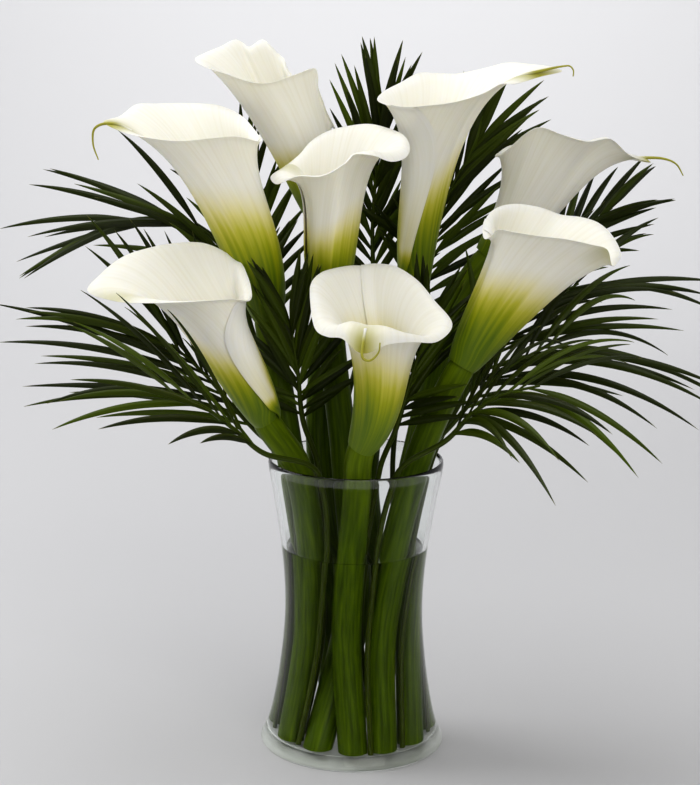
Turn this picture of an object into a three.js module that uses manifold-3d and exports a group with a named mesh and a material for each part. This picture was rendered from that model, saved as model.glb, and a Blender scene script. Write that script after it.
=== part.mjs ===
// Eight calla lilies and twelve palm fronds standing in water in one flared clear glass vase.
// Millimetres, +Z up. The origin is the middle of the vase's flat underside and -Y faces the viewer.
import * as THREE from "three";
import { mergeVertices } from "three/addons/utils/BufferGeometryUtils.js";
import Module from "manifold-3d";

// The vase's side as [radius, height], outside upward and inside downward, and its facets round
const VASE_OUTSIDE = [[0, 0], [69.5, 0], [72, 3], [71, 7], [66.3, 15], [61.8, 34], [56.9, 64], [52.9, 106],
  [54.9, 148], [61.2, 190], [67, 222], [67.6, 228], [66.5, 230]];
const VASE_FLOOR = 7;
const VASE_INSIDE = [[64.6, 229], [63.6, 222], [57.8, 190], [51.5, 148], [49.5, 106], [53.5, 64],
  [58.4, 34], [61.4, 18], [61.6, 11], [59.5, VASE_FLOOR], [0, VASE_FLOOR]];
const VASE_FACETS = 28;
// The gap between pieces that touch
const SEAT = 0.3;
const WATER_LEVEL = 160;

// Flower stems: round, cut level on the glass floor
const STEM_RADIUS = 10.5;
const STEM_SIDES = 9;
const STEM_STEPS = 7;
const HOLE_GAP = 0.4;
const FOOT_HEIGHT = VASE_FLOOR + SEAT;

// Spathe: one rolled sheet, with a thin tail on some tips
const SPATHE_WALL = 1.2;
const SPATHE_COLUMNS = 18;
const SPATHE_ROWS = 9;
const TAIL_RADIUS = 1.5;
const TAIL_TAPER = 0.7;
const TAIL_SIDES = 4;
const TAIL_STEPS = 5;
// Heights on the sheet where a tail starts, as shares from throat to mouth
const TAIL_ROOTS = [0.9, 0.97];
// The sheet between throat and mouth: its handles as shares of the chord, how late the ruffle of the rim
// comes in, and how far round the mouth it is smoothed below that
const LOW_HANDLE = 0.42;
const HIGH_HANDLE = 0.3;
const RUFFLE_FADE = 4;
const RUFFLE_REACH = 1 / 11;
// The curled lip: where it starts, how much of the curl first bulges out, and how sharply it turns down
const LIP_START = 0.68;
const CURL_BULGE = 0.45;
const CURL_SHARPNESS = 2.6;
// The lap of the two edges opens between these heights and is widest a little below mid height
const LAP_OPENS = [-0.01, 0.12];
const LAP_PEAK = 0.8;
// Below this height the sheet's normal turns level with the throat
const THROAT_FLAT = 0.15;

// Spadix: the rod inside each bloom
const SPADIX_RADIUS = 4.6;
const SPADIX_LENGTH = 66;
const SPADIX_TAPER = 0.3;
const SPADIX_TIP = 2;
const SPADIX_SIDES = 7;
const SPADIX_STEPS = 4;

// Palm fronds: a stalk, a rib and leaflets of three-sided section
const STALK_RADIUS = 2.1;
const STALK_SIDES = 4;
const STALK_STEPS = 5;
const RIB_STEPS = 7;
const RIB_END_RADIUS = 0.9;
const LEAFLET_WIDTH = 6.6;
const LEAFLET_RIDGE = 1.4;
// How far a leaflet stands off its pair, its lift from the leaf's plane in degrees, and its length as a
// share of the frond's reach: the shortest, then the arc of a sine from the foot to the end of the rib
const STAGGER = 0.22;
const LIFT = 6;
const SHORTEST = 0.5;
const LENGTH_ARC = [0.12, 0.84];
// How far each leaflet is drawn off its rule: place, angle, lift, length and droop
const JITTER = { place: 0.2, angle: 10, lift: 12, length: 0.2, droop: 0.6 };
const SEED = 97;
const SEED_STEP = 31;
// Leaflet outline: share of the length, share of the width
const LEAFLET_OUTLINE = [[0, 0.2], [0.3, 1], [0.72, 0.76]];
// Ways to bend a leaflet clear of what is near it: degrees sideways, degrees up, share of the length
const LEAFLET_BENDS = [[0, 0, 1], [10, 0, 1], [-10, 0, 1], [0, 14, 1], [0, -14, 1], [18, 10, 0.9],
  [-18, -10, 0.9], [0, 26, 0.8], [0, -26, 0.8], [0, 0, 0.66], [12, 12, 0.6], [-12, -12, 0.6]];
// What a leaflet keeps clear of: the gap, the room round the vase, and the thickness given to the sample
// points of a spathe and of a leaflet
const CLEARANCE = 4.6;
const VASE_REACH = 78;
const VASE_TOP = 236;
const SHEET_SAMPLES = [49, 20];
const SHEET_THICKNESS = 1.8;
const LEAFLET_SAMPLES = 24;
const LEAFLET_START = 0.1;
const LEAFLET_THICKNESS = 2.4;

// Each bloom. throat: the bottom of its rolled tube. lean: how far, and to which side, the tube starts
// out. rim: stations round the mouth as [across, away, up, flare degrees, curl], in mm from the throat.
// seam: the rim station where the sheet's two edges lap. lap, mouthLap: how far they lap at mid height
// and at the mouth, in degrees. hug: half the step between the lapped layers. swell: how fast the tube
// widens. stem: waypoints as [radius, azimuth, height]. tail: its rim station and its waypoints.
const BLOOMS = [
  {
    throat: [-31, 88, 404], lean: [14, 175], seam: 18, lap: 20, mouthLap: 4, hug: 1.5,
    swell: 0.32,
    rim: [[-3, 16, 81, 35], [-15, 22, 99, 25], [-29, 28, 116, 20], [-35, 35, 126, 20], [-48, 38, 137, 15],
      [-60, 40, 131, 10], [-69, 42, 137, 5], [-80, 28, 133, 32], [-91, 10, 129, 38], [-98, -6, 125, 40],
      [-89, -22, 120, 22], [-71, -34, 115, 10], [-54, -41, 110, 8], [-39, -40, 109, 10],
      [-22, -28, 114, 15], [-7, -14, 118, 20], [-5, -10, 104, 18], [1, -4, 89, 15], [9, 4, 72, 15]],
    stem: [[46.8, 92, FOOT_HEIGHT], [36.5, 108, 106], [50, 125, 225]],
  },
  {
    throat: [-69, 12, 335], lean: [10, 200], seam: 6.5, lap: 30, mouthLap: 4, hug: 1.5,
    swell: 0.3,
    rim: [[-123, -4, 151, 48], [-104, -24, 145, 42], [-85, -40, 143, 36], [-63, -50, 142, 34],
      [-41, -48, 144, 40], [-23, -36, 144, 35], [-8, -14, 138, 25], [-13, 10, 144, 30], [-25, 30, 154, 40],
      [-43, 44, 160, 45], [-67, 50, 161, 50], [-89, 45, 161, 52], [-103, 34, 161, 48], [-113, 14, 154, 50]],
    stem: [[46.8, 160, FOOT_HEIGHT], [36.5, 163, 106], [50, 176, 225]],
    tail: { station: 0, waypoints: [[-129, -5, 144], [-131, -6, 132], [-127, -7, 120]] },
  },
  {
    throat: [-22, 8, 346], lean: [2, 180], seam: 0, lap: 25, mouthLap: 4, hug: 1.5,
    swell: 0.34,
    rim: [[-35, 2, 107, 60], [-45, -6, 101, 95], [-40, -16, 97, 95], [-24, -35, 105, 55],
      [-6, -48, 107, 45], [9, -54, 116, 35], [17, -54, 128, 40, 4], [30, -52, 134, 55, 10],
      [42, -44, 131, 65, 12], [52, -28, 130, 65, 10], [57, -8, 129, 65, 4], [55, 15, 131, 60],
      [46, 34, 134, 50], [29, 46, 137, 45], [12, 48, 135, 45], [-3, 44, 131, 40], [-15, 34, 124, 40],
      [-23, 20, 115, 40]],
    stem: [[45, 238, FOOT_HEIGHT], [2, 238, 106], [10, 150, 225]],
  },
  {
    throat: [45, 68, 351], lean: [1, 180], seam: 7, lap: 42, mouthLap: 10, hug: -1.5,
    swell: 0.16,
    rim: [[110, 0, 174, 80], [92, -10, 170, 74], [72, -22, 165, 64], [60, -30, 165, 55],
      [46, -37, 158, 50], [26, -44, 152, 45], [5, -46, 149, 40], [-14, -38, 147, 35], [-30, -16, 150, 45],
      [-26, 8, 155, 45], [-13, 24, 161, 45], [1, 36, 168, 50], [16, 42, 168, 50], [31, 42, 168, 50],
      [52, 37, 173, 50], [71, 26, 178, 60], [91, 11, 177, 70]],
    stem: [[46.8, 12, FOOT_HEIGHT], [36.5, 52, 106], [50, 80, 225]],
    tail: { station: 0, waypoints: [[114, 0, 175], [118, -1, 172], [118, -2, 167]] },
  },
  {
    throat: [102, 84, 373], lean: [44, 5], seam: 8, lap: 30, mouthLap: 4, hug: 1.5,
    swell: 0.3,
    rim: [[127, 0, 81, 58], [108, -20, 88, 55], [90, -36, 102, 52], [71, -48, 101, 48], [52, -54, 106, 42],
      [35, -52, 111, 38], [23, -42, 103, 35], [8, -22, 86, 35], [8, 4, 84, 40], [19, 28, 88, 40],
      [36, 46, 89, 42], [59, 52, 87, 44], [81, 46, 85, 46], [101, 30, 83, 52], [115, 14, 81, 56]],
    stem: [[46.8, 330, FOOT_HEIGHT], [36.5, 357, 106], [50, 24, 225]],
    tail: { station: 0, waypoints: [[136, -1, 81], [146, -2, 77], [152, -2, 68]] },
  },
  {
    throat: [78, -34, 310], lean: [30, 5], seam: 8, lap: 35, mouthLap: 8, hug: 1.5,
    swell: 0.28,
    rim: [[108, -4, 80, 24], [101, -25, 95, 26], [87, -40, 101, 30], [68, -50, 106, 34],
      [50, -52, 108, 36], [33, -44, 109, 30], [23, -32, 108, 30], [15, -20, 101, 60], [15, -4, 109, 60],
      [21, 12, 115, 35], [31, 26, 118, 30], [44, 38, 118, 35], [60, 45, 115, 40], [75, 48, 110, 42],
      [90, 44, 109, 44], [102, 34, 106, 42], [111, 20, 98, 38], [116, 6, 86, 32]],
    stem: [[46.8, 298, FOOT_HEIGHT], [36.5, 305, 106], [49, 335, 225]],
  },
  {
    throat: [-68, -38, 267], lean: [28, 222], seam: 6, lap: 55, mouthLap: 10, hug: -1.5,
    swell: 0.28,
    rim: [[-133, 0, 98, 78], [-109, -22, 95, 70], [-86, -38, 97, 62], [-62, -46, 99, 50],
      [-40, -44, 100, 40], [-25, -34, 99, 30], [-14, -18, 96, 40], [-14, 0, 103, 60], [-18, 14, 111, 55],
      [-24, 28, 118, 45], [-36, 30, 125, 35], [-53, 34, 130, 35], [-76, 34, 129, 45], [-96, 30, 125, 55],
      [-113, 28, 118, 65], [-126, 14, 108, 74]],
    stem: [[46.8, 206, FOOT_HEIGHT], [36.5, 212, 106], [49, 212, 221]],
  },
  {
    throat: [4, -58, 252], lean: [30, -32], seam: 9, lap: 20, mouthLap: 3, hug: 1.5,
    swell: 0.26,
    rim: [[1, -62, 127, 40, 38], [-11, -56, 124, 45, 27], [-23, -44, 108, 60, 13], [-33, -28, 102, 70, 5],
      [-38, -10, 111, 65], [-38, 8, 123, 55], [-31, 22, 129, 45], [-20, 33, 131, 40], [-9, 39, 132, 38],
      [-1, 40, 132, 38], [8, 41, 133, 38], [23, 36, 132, 45], [39, 22, 124, 48], [51, 6, 112, 48],
      [62, -14, 103, 46, 4], [50, -36, 99, 40, 8], [32, -52, 108, 40, 14], [15, -62, 123, 40, 28]],
    stem: [[46.8, 271, FOOT_HEIGHT], [36.5, 262, 106], [47.5, 271, 210]],
    tail: { station: 0, waypoints: [[-1, -80, 84], [4, -81, 82], [10, -82, 88], [11, -82, 95]] },
  },
];

// Each palm frond. stalk: waypoints inside the vase as [radius, azimuth, height]. rib: waypoints above it
// as [across, away, up]. face: the way the leaf's upper side looks. pairs: leaflets on each side.
// reach: the longest leaflet. droop: how far a leaflet's tip sinks, as a share of its length.
// bare: the share of the rib that carries no leaflets. spread: how far the leaflets open from the rib, in
// degrees, at its foot and at its end.
const FRONDS = [
  { name: "back_centre", pairs: 7, reach: 92, droop: 0.06, bare: 0.25,
    spread: [28, 10], face: [0, -1, 0.3],
    stalk: [[50, 55, FOOT_HEIGHT], [44, 80, 106], [52, 103, 225]],
    rib: [[11, 104, 335], [11, 118, 394], [14, 120, 450], [17, 118, 484]] },
  { name: "back_right", pairs: 8, reach: 100, droop: 0.12, bare: 0.15,
    spread: [34, 10], face: [0.1, -1, 0.3],
    stalk: [[51, 354, FOOT_HEIGHT], [44, 28, 106], [53, 56, 225]],
    rib: [[53, 104, 327], [61, 114, 379], [73, 122, 422], [96, 126, 462]] },
  { name: "right_back", pairs: 7, reach: 84, droop: 0.18, bare: 0.25,
    spread: [36, 12], face: [-0.1, -0.8, 0.6],
    stalk: [[26, 345, FOOT_HEIGHT], [19, 348, 106], [31, 347, 165], [56, 5, 224]],
    rib: [[104, 56, 308], [141, 92, 351], [177, 104, 392], [202, 104, 412]] },
  { name: "right", pairs: 8, reach: 140, droop: 0.3, bare: 0.08,
    spread: [32, 18], face: [0, -0.7, 0.7],
    stalk: [[52, 314, FOOT_HEIGHT], [44, 324, 106], [57, 351, 224]],
    rib: [[81, 14, 273], [110, 26, 310], [141, 38, 342], [171, 46, 360]] },
  { name: "right_low", pairs: 9, reach: 160, droop: 0.42, bare: 0.03,
    spread: [34, 24], face: [0, -0.6, 0.8],
    stalk: [[30, 318, FOOT_HEIGHT], [19, 316, 106], [28, 338, 165], [46, 354, 225]],
    rib: [[73, -8, 259], [96, -12, 288], [123, -12, 310], [148, -8, 323]] },
  { name: "right_lowest", pairs: 7, reach: 128, droop: 0.42, bare: 0.03,
    spread: [36, 24], face: [0, -0.5, 0.85],
    stalk: [[55, 284.5, FOOT_HEIGHT], [46.3, 284, 106], [54, 303, 226]],
    rib: [[67, -62, 260], [85, -76, 284], [107, -86, 300], [131, -92, 308]] },
  { name: "left_up", pairs: 8, reach: 125, droop: 0.16, bare: 0.1,
    spread: [28, 14], face: [0, -0.8, 0.6],
    stalk: [[51, 138, FOOT_HEIGHT], [44, 143, 106], [53, 157, 225]],
    rib: [[-83, 56, 318], [-100, 70, 369], [-129, 78, 396], [-165, 80, 402], [-191, 76, 399]] },
  { name: "left_low", pairs: 9, reach: 168, droop: 0.2, bare: 0.02,
    spread: [34, 18], face: [0, -0.75, 0.65],
    stalk: [[51, 183, FOOT_HEIGHT], [44, 188, 106], [53, 194, 229]],
    rib: [[-75, -2, 248], [-94, 6, 266], [-118, 14, 291], [-143, 18, 313]] },
  { name: "left_lowest", pairs: 7, reach: 138, droop: 0.22, bare: 0.03,
    spread: [34, 20], face: [0, -0.5, 0.85],
    stalk: [[51, 222, FOOT_HEIGHT], [44, 237, 106], [53, 239, 226]],
    rib: [[-69, -70, 250], [-90, -86, 272], [-114, -96, 292], [-140, -100, 303]] },
  { name: "middle_left", pairs: 5, reach: 85, droop: 0.12, bare: 0.15,
    spread: [36, 16], face: [0, -1, 0.2],
    stalk: [[30, 190, FOOT_HEIGHT], [19, 196, 106], [30, 190, 225]],
    rib: [[-41, -8, 261], [-45, -16, 301], [-51, -18, 338]] },
  { name: "middle_right", pairs: 5, reach: 88, droop: 0.12, bare: 0.15,
    spread: [36, 16], face: [0, -1, 0.2],
    stalk: [[20, 325, FOOT_HEIGHT], [19, 282, 106], [28, 310, 225]],
    rib: [[30, -30, 261], [41, -26, 300], [51, -22, 334]] },
  { name: "back_left", pairs: 6, reach: 80, droop: 0.1, bare: 0.25,
    spread: [34, 14], face: [0, -1, 0.3],
    stalk: [[51, 115, FOOT_HEIGHT], [44, 128, 106], [53, 143, 225]],
    rib: [[-77, 88, 312], [-83, 108, 364], [-90, 116, 409], [-96, 118, 440]] },
];

const COLOURS = {
  glass: { color: 0xdfe8e6, roughness: 0.05, metalness: 0, transparent: true, opacity: 0.35 },
  water: { color: 0xcfdcda, roughness: 0.02, metalness: 0, transparent: true, opacity: 0.5 },
  stem: { color: 0x4c6414, roughness: 0.5, metalness: 0 },
  spathe: { color: 0xf0ede2, roughness: 0.45, metalness: 0 },
  spadix: { color: 0xd9a520, roughness: 0.8, metalness: 0 },
  palm: { color: 0x35530f, roughness: 0.4, metalness: 0 },
};

const wasm = await Module();
wasm.setup();

const vec = (x, y, z) => new THREE.Vector3(x, y, z);
const rad = THREE.MathUtils.degToRad;
const UP = vec(0, 0, 1);
const AWAY = vec(0, 1, 0);

// Sum of [weight, vector] terms
function sum(...terms) {
  return terms.reduce((total, [weight, v]) => total.addScaledVector(v, weight), vec(0, 0, 0));
}

function cross(a, b) {
  return vec(0, 0, 0).crossVectors(a, b);
}

function polar([radius, azimuth, height]) {
  return vec(radius * Math.cos(rad(azimuth)), radius * Math.sin(rad(azimuth)), height);
}

// 0 below a, 1 above b, smooth between
function ease(x, a, b) {
  const k = Math.min(Math.max((x - a) / (b - a), 0), 1);
  return k * k * (3 - 2 * k);
}

// Repeatable draws between 0 and 1
function drawer(seed) {
  let state = seed;
  return () => {
    state = (Math.imul(state, 1664525) + 1013904223) >>> 0;
    return state / 2 ** 32;
  };
}

// Closed body from points and triangles, turned inside out where its volume is negative
function closedBody(points, triangles) {
  const volume = triangles.reduce((total, [a, b, c]) =>
    total + points[a].dot(cross(points[b], points[c])) / 6, 0);
  const outward = volume > 0 ? triangles : triangles.map(([a, b, c]) => [a, c, b]);
  const body = new THREE.BufferGeometry();
  body.setAttribute("position", new THREE.Float32BufferAttribute(points.flatMap((p) => p.toArray()), 3));
  body.setIndex(outward.flat());
  return body;
}

// Body through rings of as many points each; a last ring of one point is a tip
function loft(rings) {
  const sides = rings[0].length;
  const points = rings.flat();
  const triangles = [];
  rings.slice(1).forEach((ring, i) => {
    const low = i * sides;
    const high = low + sides;
    for (let j = 0; j < sides; j++) {
      const k = (j + 1) % sides;
      if (ring.length === 1) triangles.push([low + j, low + k, high]);
      else triangles.push([low + j, low + k, high + k], [low + j, high + k, high + j]);
    }
  });
  for (let j = 1; j < sides - 1; j++) triangles.push([0, j + 1, j]);
  if (rings.at(-1).length > 1) {
    const last = points.length - sides;
    for (let j = 1; j < sides - 1; j++) triangles.push([last, last + j, last + j + 1]);
  }
  return closedBody(points, triangles);
}

// Body between two grids of points that face each other
function slab(front, back) {
  const columns = front.length;
  const rows = front[0].length;
  const at = (i, j) => i * rows + j;
  const behind = columns * rows;
  const triangles = [];
  const quad = (a, b, c, d) => triangles.push([a, b, c], [a, c, d]);
  for (let i = 0; i < columns - 1; i++) {
    for (let j = 0; j < rows - 1; j++) {
      quad(at(i, j), at(i + 1, j), at(i + 1, j + 1), at(i, j + 1));
      triangles.push([behind + at(i, j), behind + at(i + 1, j + 1), behind + at(i + 1, j)],
        [behind + at(i, j), behind + at(i, j + 1), behind + at(i + 1, j + 1)]);
    }
    quad(at(i, 0), behind + at(i, 0), behind + at(i + 1, 0), at(i + 1, 0));
    quad(at(i + 1, rows - 1), behind + at(i + 1, rows - 1), behind + at(i, rows - 1), at(i, rows - 1));
  }
  for (let j = 0; j < rows - 1; j++) {
    quad(at(0, j + 1), behind + at(0, j + 1), behind + at(0, j), at(0, j));
    quad(at(columns - 1, j), behind + at(columns - 1, j), behind + at(columns - 1, j + 1),
      at(columns - 1, j + 1));
  }
  return closedBody([...front.flat(), ...back.flat()], triangles);
}

const WELD = 1e-5;
function solid(geometry) {
  const bare = new THREE.BufferGeometry();
  bare.setAttribute("position", geometry.getAttribute("position").clone());
  if (geometry.index) bare.setIndex(geometry.index.clone());
  const merged = mergeVertices(bare, WELD);
  return new wasm.Manifold(new wasm.Mesh({
    numProp: 3,
    vertProperties: new Float32Array(merged.getAttribute("position").array),
    triVerts: new Uint32Array(merged.index.array),
  }));
}

function geometryOf(body) {
  const mesh = body.getMesh();
  const geometry = new THREE.BufferGeometry();
  geometry.setAttribute("position", new THREE.Float32BufferAttribute(mesh.vertProperties, 3));
  geometry.setIndex(Array.from(mesh.triVerts));
  return geometry;
}

// Smooth path through waypoints, as stations with a point, a direction and the length so far. Each
// handle is a third of its span; the last direction may be given.
const STATIONS_PER_SPAN = 16;
function path(waypoints, endDirection) {
  const last = waypoints.length - 1;
  const heading = waypoints.map((p, i) =>
    sum([1, waypoints[Math.min(i + 1, last)]], [-1, waypoints[Math.max(i - 1, 0)]]).normalize());
  if (endDirection) heading[last] = endDirection;
  const points = [];
  for (let i = 0; i < last; i++) {
    const handle = waypoints[i].distanceTo(waypoints[i + 1]) / 3;
    const span = new THREE.CubicBezierCurve3(waypoints[i], sum([1, waypoints[i]], [handle, heading[i]]),
      sum([1, waypoints[i + 1]], [-handle, heading[i + 1]]), waypoints[i + 1]);
    points.push(...span.getPoints(STATIONS_PER_SPAN).slice(i === 0 ? 0 : 1));
  }
  let length = 0;
  return points.map((point, i) => {
    if (i > 0) length += point.distanceTo(points[i - 1]);
    const ends = { 0: heading[0], [points.length - 1]: heading[last] };
    const direction = ends[i] ?? sum([1, points[i + 1]], [-1, points[i - 1]]).normalize();
    return { point, direction, length };
  });
}

// The station at a given length along a path
function along(stations, length) {
  let i = 1;
  while (i < stations.length - 1 && stations[i].length < length) i++;
  const [a, b] = [stations[i - 1], stations[i]];
  const k = Math.min(Math.max((length - a.length) / (b.length - a.length), 0), 1);
  return {
    point: sum([1 - k, a.point], [k, b.point]),
    direction: sum([1 - k, a.direction], [k, b.direction]).normalize(),
  };
}

// Ring round a station; with a level, its points slide along the path to that height
function ringAt({ point, direction }, radius, sides, level) {
  const side = cross(Math.abs(direction.y) > 0.9 ? UP : AWAY, direction).normalize();
  const rise = cross(direction, side);
  return Array.from({ length: sides }, (_, i) => {
    const turn = 2 * Math.PI * i / sides;
    const p = sum([1, point], [radius * Math.cos(turn), side], [radius * Math.sin(turn), rise]);
    return level === undefined ? p : p.addScaledVector(direction, (level - p.z) / direction.z);
  });
}

// Shares of a length from one value to another, in even steps
function steps(from, to, count) {
  return Array.from({ length: count + 1 }, (_, i) => from + (to - from) * i / count);
}

// Rings of a round rod at shares of its path; its foot may be cut level at a height
function rod(stations, shares, sides, radiusAt, footLevel) {
  const length = stations.at(-1).length;
  return shares.map((share, i) =>
    ringAt(along(stations, share * length), radiusAt(share), sides, i === 0 ? footLevel : undefined));
}

// A bloom's directions, and its closed curves through the rim stations: the points, and the traits
// (flare, curl, and how far the azimuth runs ahead of an even turn)
function prepare(record) {
  const [lean, side] = record.lean.map(rad);
  const throat = vec(...record.throat);
  const axis = vec(Math.sin(lean) * Math.cos(side), Math.sin(lean) * Math.sin(side), Math.cos(lean));
  const points = record.rim.map(([x, y, z]) => vec(x, y, z).add(throat));
  const count = points.length;
  const middle = sum(...points.map((p) => [1 / count, p]));
  const rise = sum([1, middle], [-1, throat]).normalize();
  const across = cross(AWAY, rise).normalize();
  const depth = cross(rise, across);
  const azimuth = [];
  points.forEach((p, i) => {
    const spoke = sum([1, p], [-1, middle]);
    let angle = Math.atan2(spoke.dot(depth), spoke.dot(across));
    while (i > 0 && angle - azimuth[i - 1] > Math.PI) angle -= 2 * Math.PI;
    while (i > 0 && angle - azimuth[i - 1] < -Math.PI) angle += 2 * Math.PI;
    azimuth.push(angle);
  });
  const turn = 2 * Math.PI * Math.sign(azimuth.at(-1) - azimuth[0]);
  const traits = record.rim.map(([, , , flare, curl = 0], i) =>
    vec(rad(flare), curl, azimuth[i] - turn * i / count));
  const throatAcross = cross(AWAY, axis).normalize();
  return {
    ...record, throat, axis, count, middle, rise, turn, throatAcross,
    throatDepth: cross(axis, throatAcross),
    rimCurve: new THREE.CatmullRomCurve3(points, true, "catmullrom", 0.5),
    traitCurve: new THREE.CatmullRomCurve3(traits, true, "catmullrom", 0.5),
  };
}

// Where a bloom's sheet lies, before its lapped layers are set apart. across runs from -1 to 1 between
// the sheet's two edges, and up from 0 at the throat to 1 at the mouth.
function sheetPoint(bloom, across, up) {
  const { count, axis, rise, throat } = bloom;
  const lapDegrees = bloom.mouthLap + (bloom.lap - bloom.mouthLap) * Math.sin(Math.PI * up ** LAP_PEAK);
  const lap = lapDegrees / 360 * count * ease(up, ...LAP_OPENS);
  const q = bloom.seam + count / 2 + across * (count / 2 + lap);
  const traits = bloom.traitCurve.getPoint(q / count);
  const phi = bloom.turn * q / count + traits.z;
  const full = bloom.rimCurve.getPoint(q / count);
  const soft = sum([0.25, bloom.rimCurve.getPoint(q / count - RUFFLE_REACH)], [0.5, full],
    [0.25, bloom.rimCurve.getPoint(q / count + RUFFLE_REACH)]);
  const spoke = sum([Math.cos(phi), bloom.throatAcross], [Math.sin(phi), bloom.throatDepth]);
  const start = sum([1, throat], [STEM_RADIUS, spoke]);
  const reach = sum([1, soft], [-1, bloom.middle]);
  const out = reach.addScaledVector(rise, -reach.dot(rise)).normalize();
  const chord = soft.distanceTo(start);
  const lower = sum([1, start], [LOW_HANDLE * chord, axis], [LOW_HANDLE * chord * bloom.swell, spoke]);
  const upper = sum([1, soft], [-HIGH_HANDLE * chord * Math.cos(traits.x), rise],
    [-HIGH_HANDLE * chord * Math.sin(traits.x), out]);
  const p = new THREE.CubicBezierCurve3(start, lower, upper, soft).getPoint(up);
  p.addScaledVector(full, up ** RUFFLE_FADE).addScaledVector(soft, -(up ** RUFFLE_FADE));
  const lip = Math.max((up - LIP_START) / (1 - LIP_START), 0);
  return p.addScaledVector(out, CURL_BULGE * traits.y * (1 - (1 - lip) ** 2) * lip)
    .addScaledVector(rise, -traits.y * lip ** CURL_SHARPNESS);
}

// The sheet's point and its outward normal, which lies level with the throat at the bottom
const NEAR = 0.01;
function sheetStation(bloom, across, up) {
  const alongAcross = sum([1, sheetPoint(bloom, Math.min(across + NEAR, 1), up)],
    [-1, sheetPoint(bloom, Math.max(across - NEAR, -1), up)]);
  const alongUp = sum([1, sheetPoint(bloom, across, Math.min(up + NEAR, 1))],
    [-1, sheetPoint(bloom, across, Math.max(up - NEAR, 0))]);
  const normal = cross(alongAcross, alongUp).normalize().multiplyScalar(Math.sign(bloom.turn));
  const level = (1 - ease(up, 0, THROAT_FLAT)) * normal.dot(bloom.axis);
  normal.addScaledVector(bloom.axis, -level).normalize();
  return { point: sheetPoint(bloom, across, up).addScaledVector(normal, bloom.hug * across), normal };
}

function sheetGrid(bloom, columns, rows, offset) {
  return Array.from({ length: columns }, (_, i) => Array.from({ length: rows }, (_, j) => {
    const { point, normal } = sheetStation(bloom, 2 * i / (columns - 1) - 1, j / (rows - 1));
    return point.addScaledVector(normal, offset);
  }));
}

// The thin tail that some tips run out into
function tailOf(bloom) {
  const { count, seam, throat, mouthLap, tail } = bloom;
  const across = ((tail.station - seam - count / 2) % count) / (count / 2 + mouthLap / 360 * count);
  const wrapped = across < -1 ? across + 2 : across;
  const roots = TAIL_ROOTS.map((up) => sheetStation(bloom, wrapped, up).point);
  const stations = path([...roots, ...tail.waypoints.map((p) => vec(...p).add(throat))]);
  const radiusAt = (share) => TAIL_RADIUS * (1 - TAIL_TAPER * share);
  return loft(rod(stations, steps(0, 1, TAIL_STEPS), TAIL_SIDES, radiusAt));
}

function spathe(bloom) {
  const sheet = slab(sheetGrid(bloom, SPATHE_COLUMNS, SPATHE_ROWS, SPATHE_WALL / 2),
    sheetGrid(bloom, SPATHE_COLUMNS, SPATHE_ROWS, -SPATHE_WALL / 2));
  return bloom.tail ? geometryOf(solid(sheet).add(solid(tailOf(bloom)))) : sheet;
}

const STEM_SHARES = steps(0, 1, STEM_STEPS);
function stemPath(bloom) {
  const end = sum([1, bloom.throat], [-SEAT, bloom.axis]);
  return path([...bloom.stem.map(polar), end], bloom.axis);
}

function stem(bloom) {
  return loft(rod(stemPath(bloom), STEM_SHARES, STEM_SIDES, () => STEM_RADIUS, FOOT_HEIGHT));
}

// A rod with a rounded end, from the stem's end towards the middle of the mouth
function spadix(bloom) {
  const turn = sum([1, bloom.throat], [SPADIX_LENGTH / 2, bloom.axis]);
  const end = sum([1, turn], [SPADIX_LENGTH / 2, bloom.rise]);
  const stations = path([bloom.throat, turn, end], bloom.rise);
  const radiusAt = (share) => SPADIX_RADIUS * (1 - SPADIX_TAPER * share ** 2);
  const rings = rod(stations, steps(0, 1, SPADIX_STEPS), SPADIX_SIDES, radiusAt);
  return loft([...rings, [sum([1, end], [SPADIX_TIP, bloom.rise])]]);
}

function turned(profile) {
  const points = profile.map(([radius, height]) => new THREE.Vector2(radius, height));
  return new THREE.LatheGeometry(points, VASE_FACETS).rotateX(Math.PI / 2);
}

function vase() {
  return geometryOf(solid(turned([...VASE_OUTSIDE, ...VASE_INSIDE])));
}

// Water up to its level, 0.3 mm off the glass, less a plain hole round each stem and stalk
function water(rods) {
  const rows = VASE_INSIDE.filter(([, height]) => height < WATER_LEVEL).reverse();
  const under = rows.at(-1);
  const over = VASE_INSIDE.findLast(([, height]) => height > WATER_LEVEL);
  const share = (WATER_LEVEL - under[1]) / (over[1] - under[1]);
  const brim = under[0] + share * (over[0] - under[0]) - SEAT;
  const profile = [...rows.map(([radius, height]) => [Math.max(radius - SEAT, 0), height + SEAT]),
    [brim, WATER_LEVEL], [0, WATER_LEVEL]];
  return geometryOf(rods.reduce((body, { stations, shares, radius, sides }) => {
    const rings = rod(stations, shares, sides, () => radius + HOLE_GAP, FOOT_HEIGHT);
    const below = rings[0].map((p) => sum([1, p], [-FOOT_HEIGHT, UP]));
    return body.subtract(solid(loft([below, ...rings])));
  }, solid(turned(profile))));
}

// What a leaflet keeps clear of: points with a radius, each owned by a piece
const obstacles = [];
function block(owner, points, radius) {
  points.forEach((point) => obstacles.push({ owner, point, radius }));
}

function isClear(owner, points) {
  return points.every((p) => {
    if (p.z < VASE_TOP && Math.hypot(p.x, p.y) < VASE_REACH) return false;
    return obstacles.every((o) => o.owner === owner
      || o.point.distanceTo(p) > o.radius + CLEARANCE);
  });
}

// Point at a share of a leaflet's length: straight out, sinking under its weight
function leafletPoint(leaflet, share) {
  const { root, heading, length, droop } = leaflet;
  return sum([1, root], [length * share, heading], [-droop * length * share * share, UP]);
}

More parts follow.
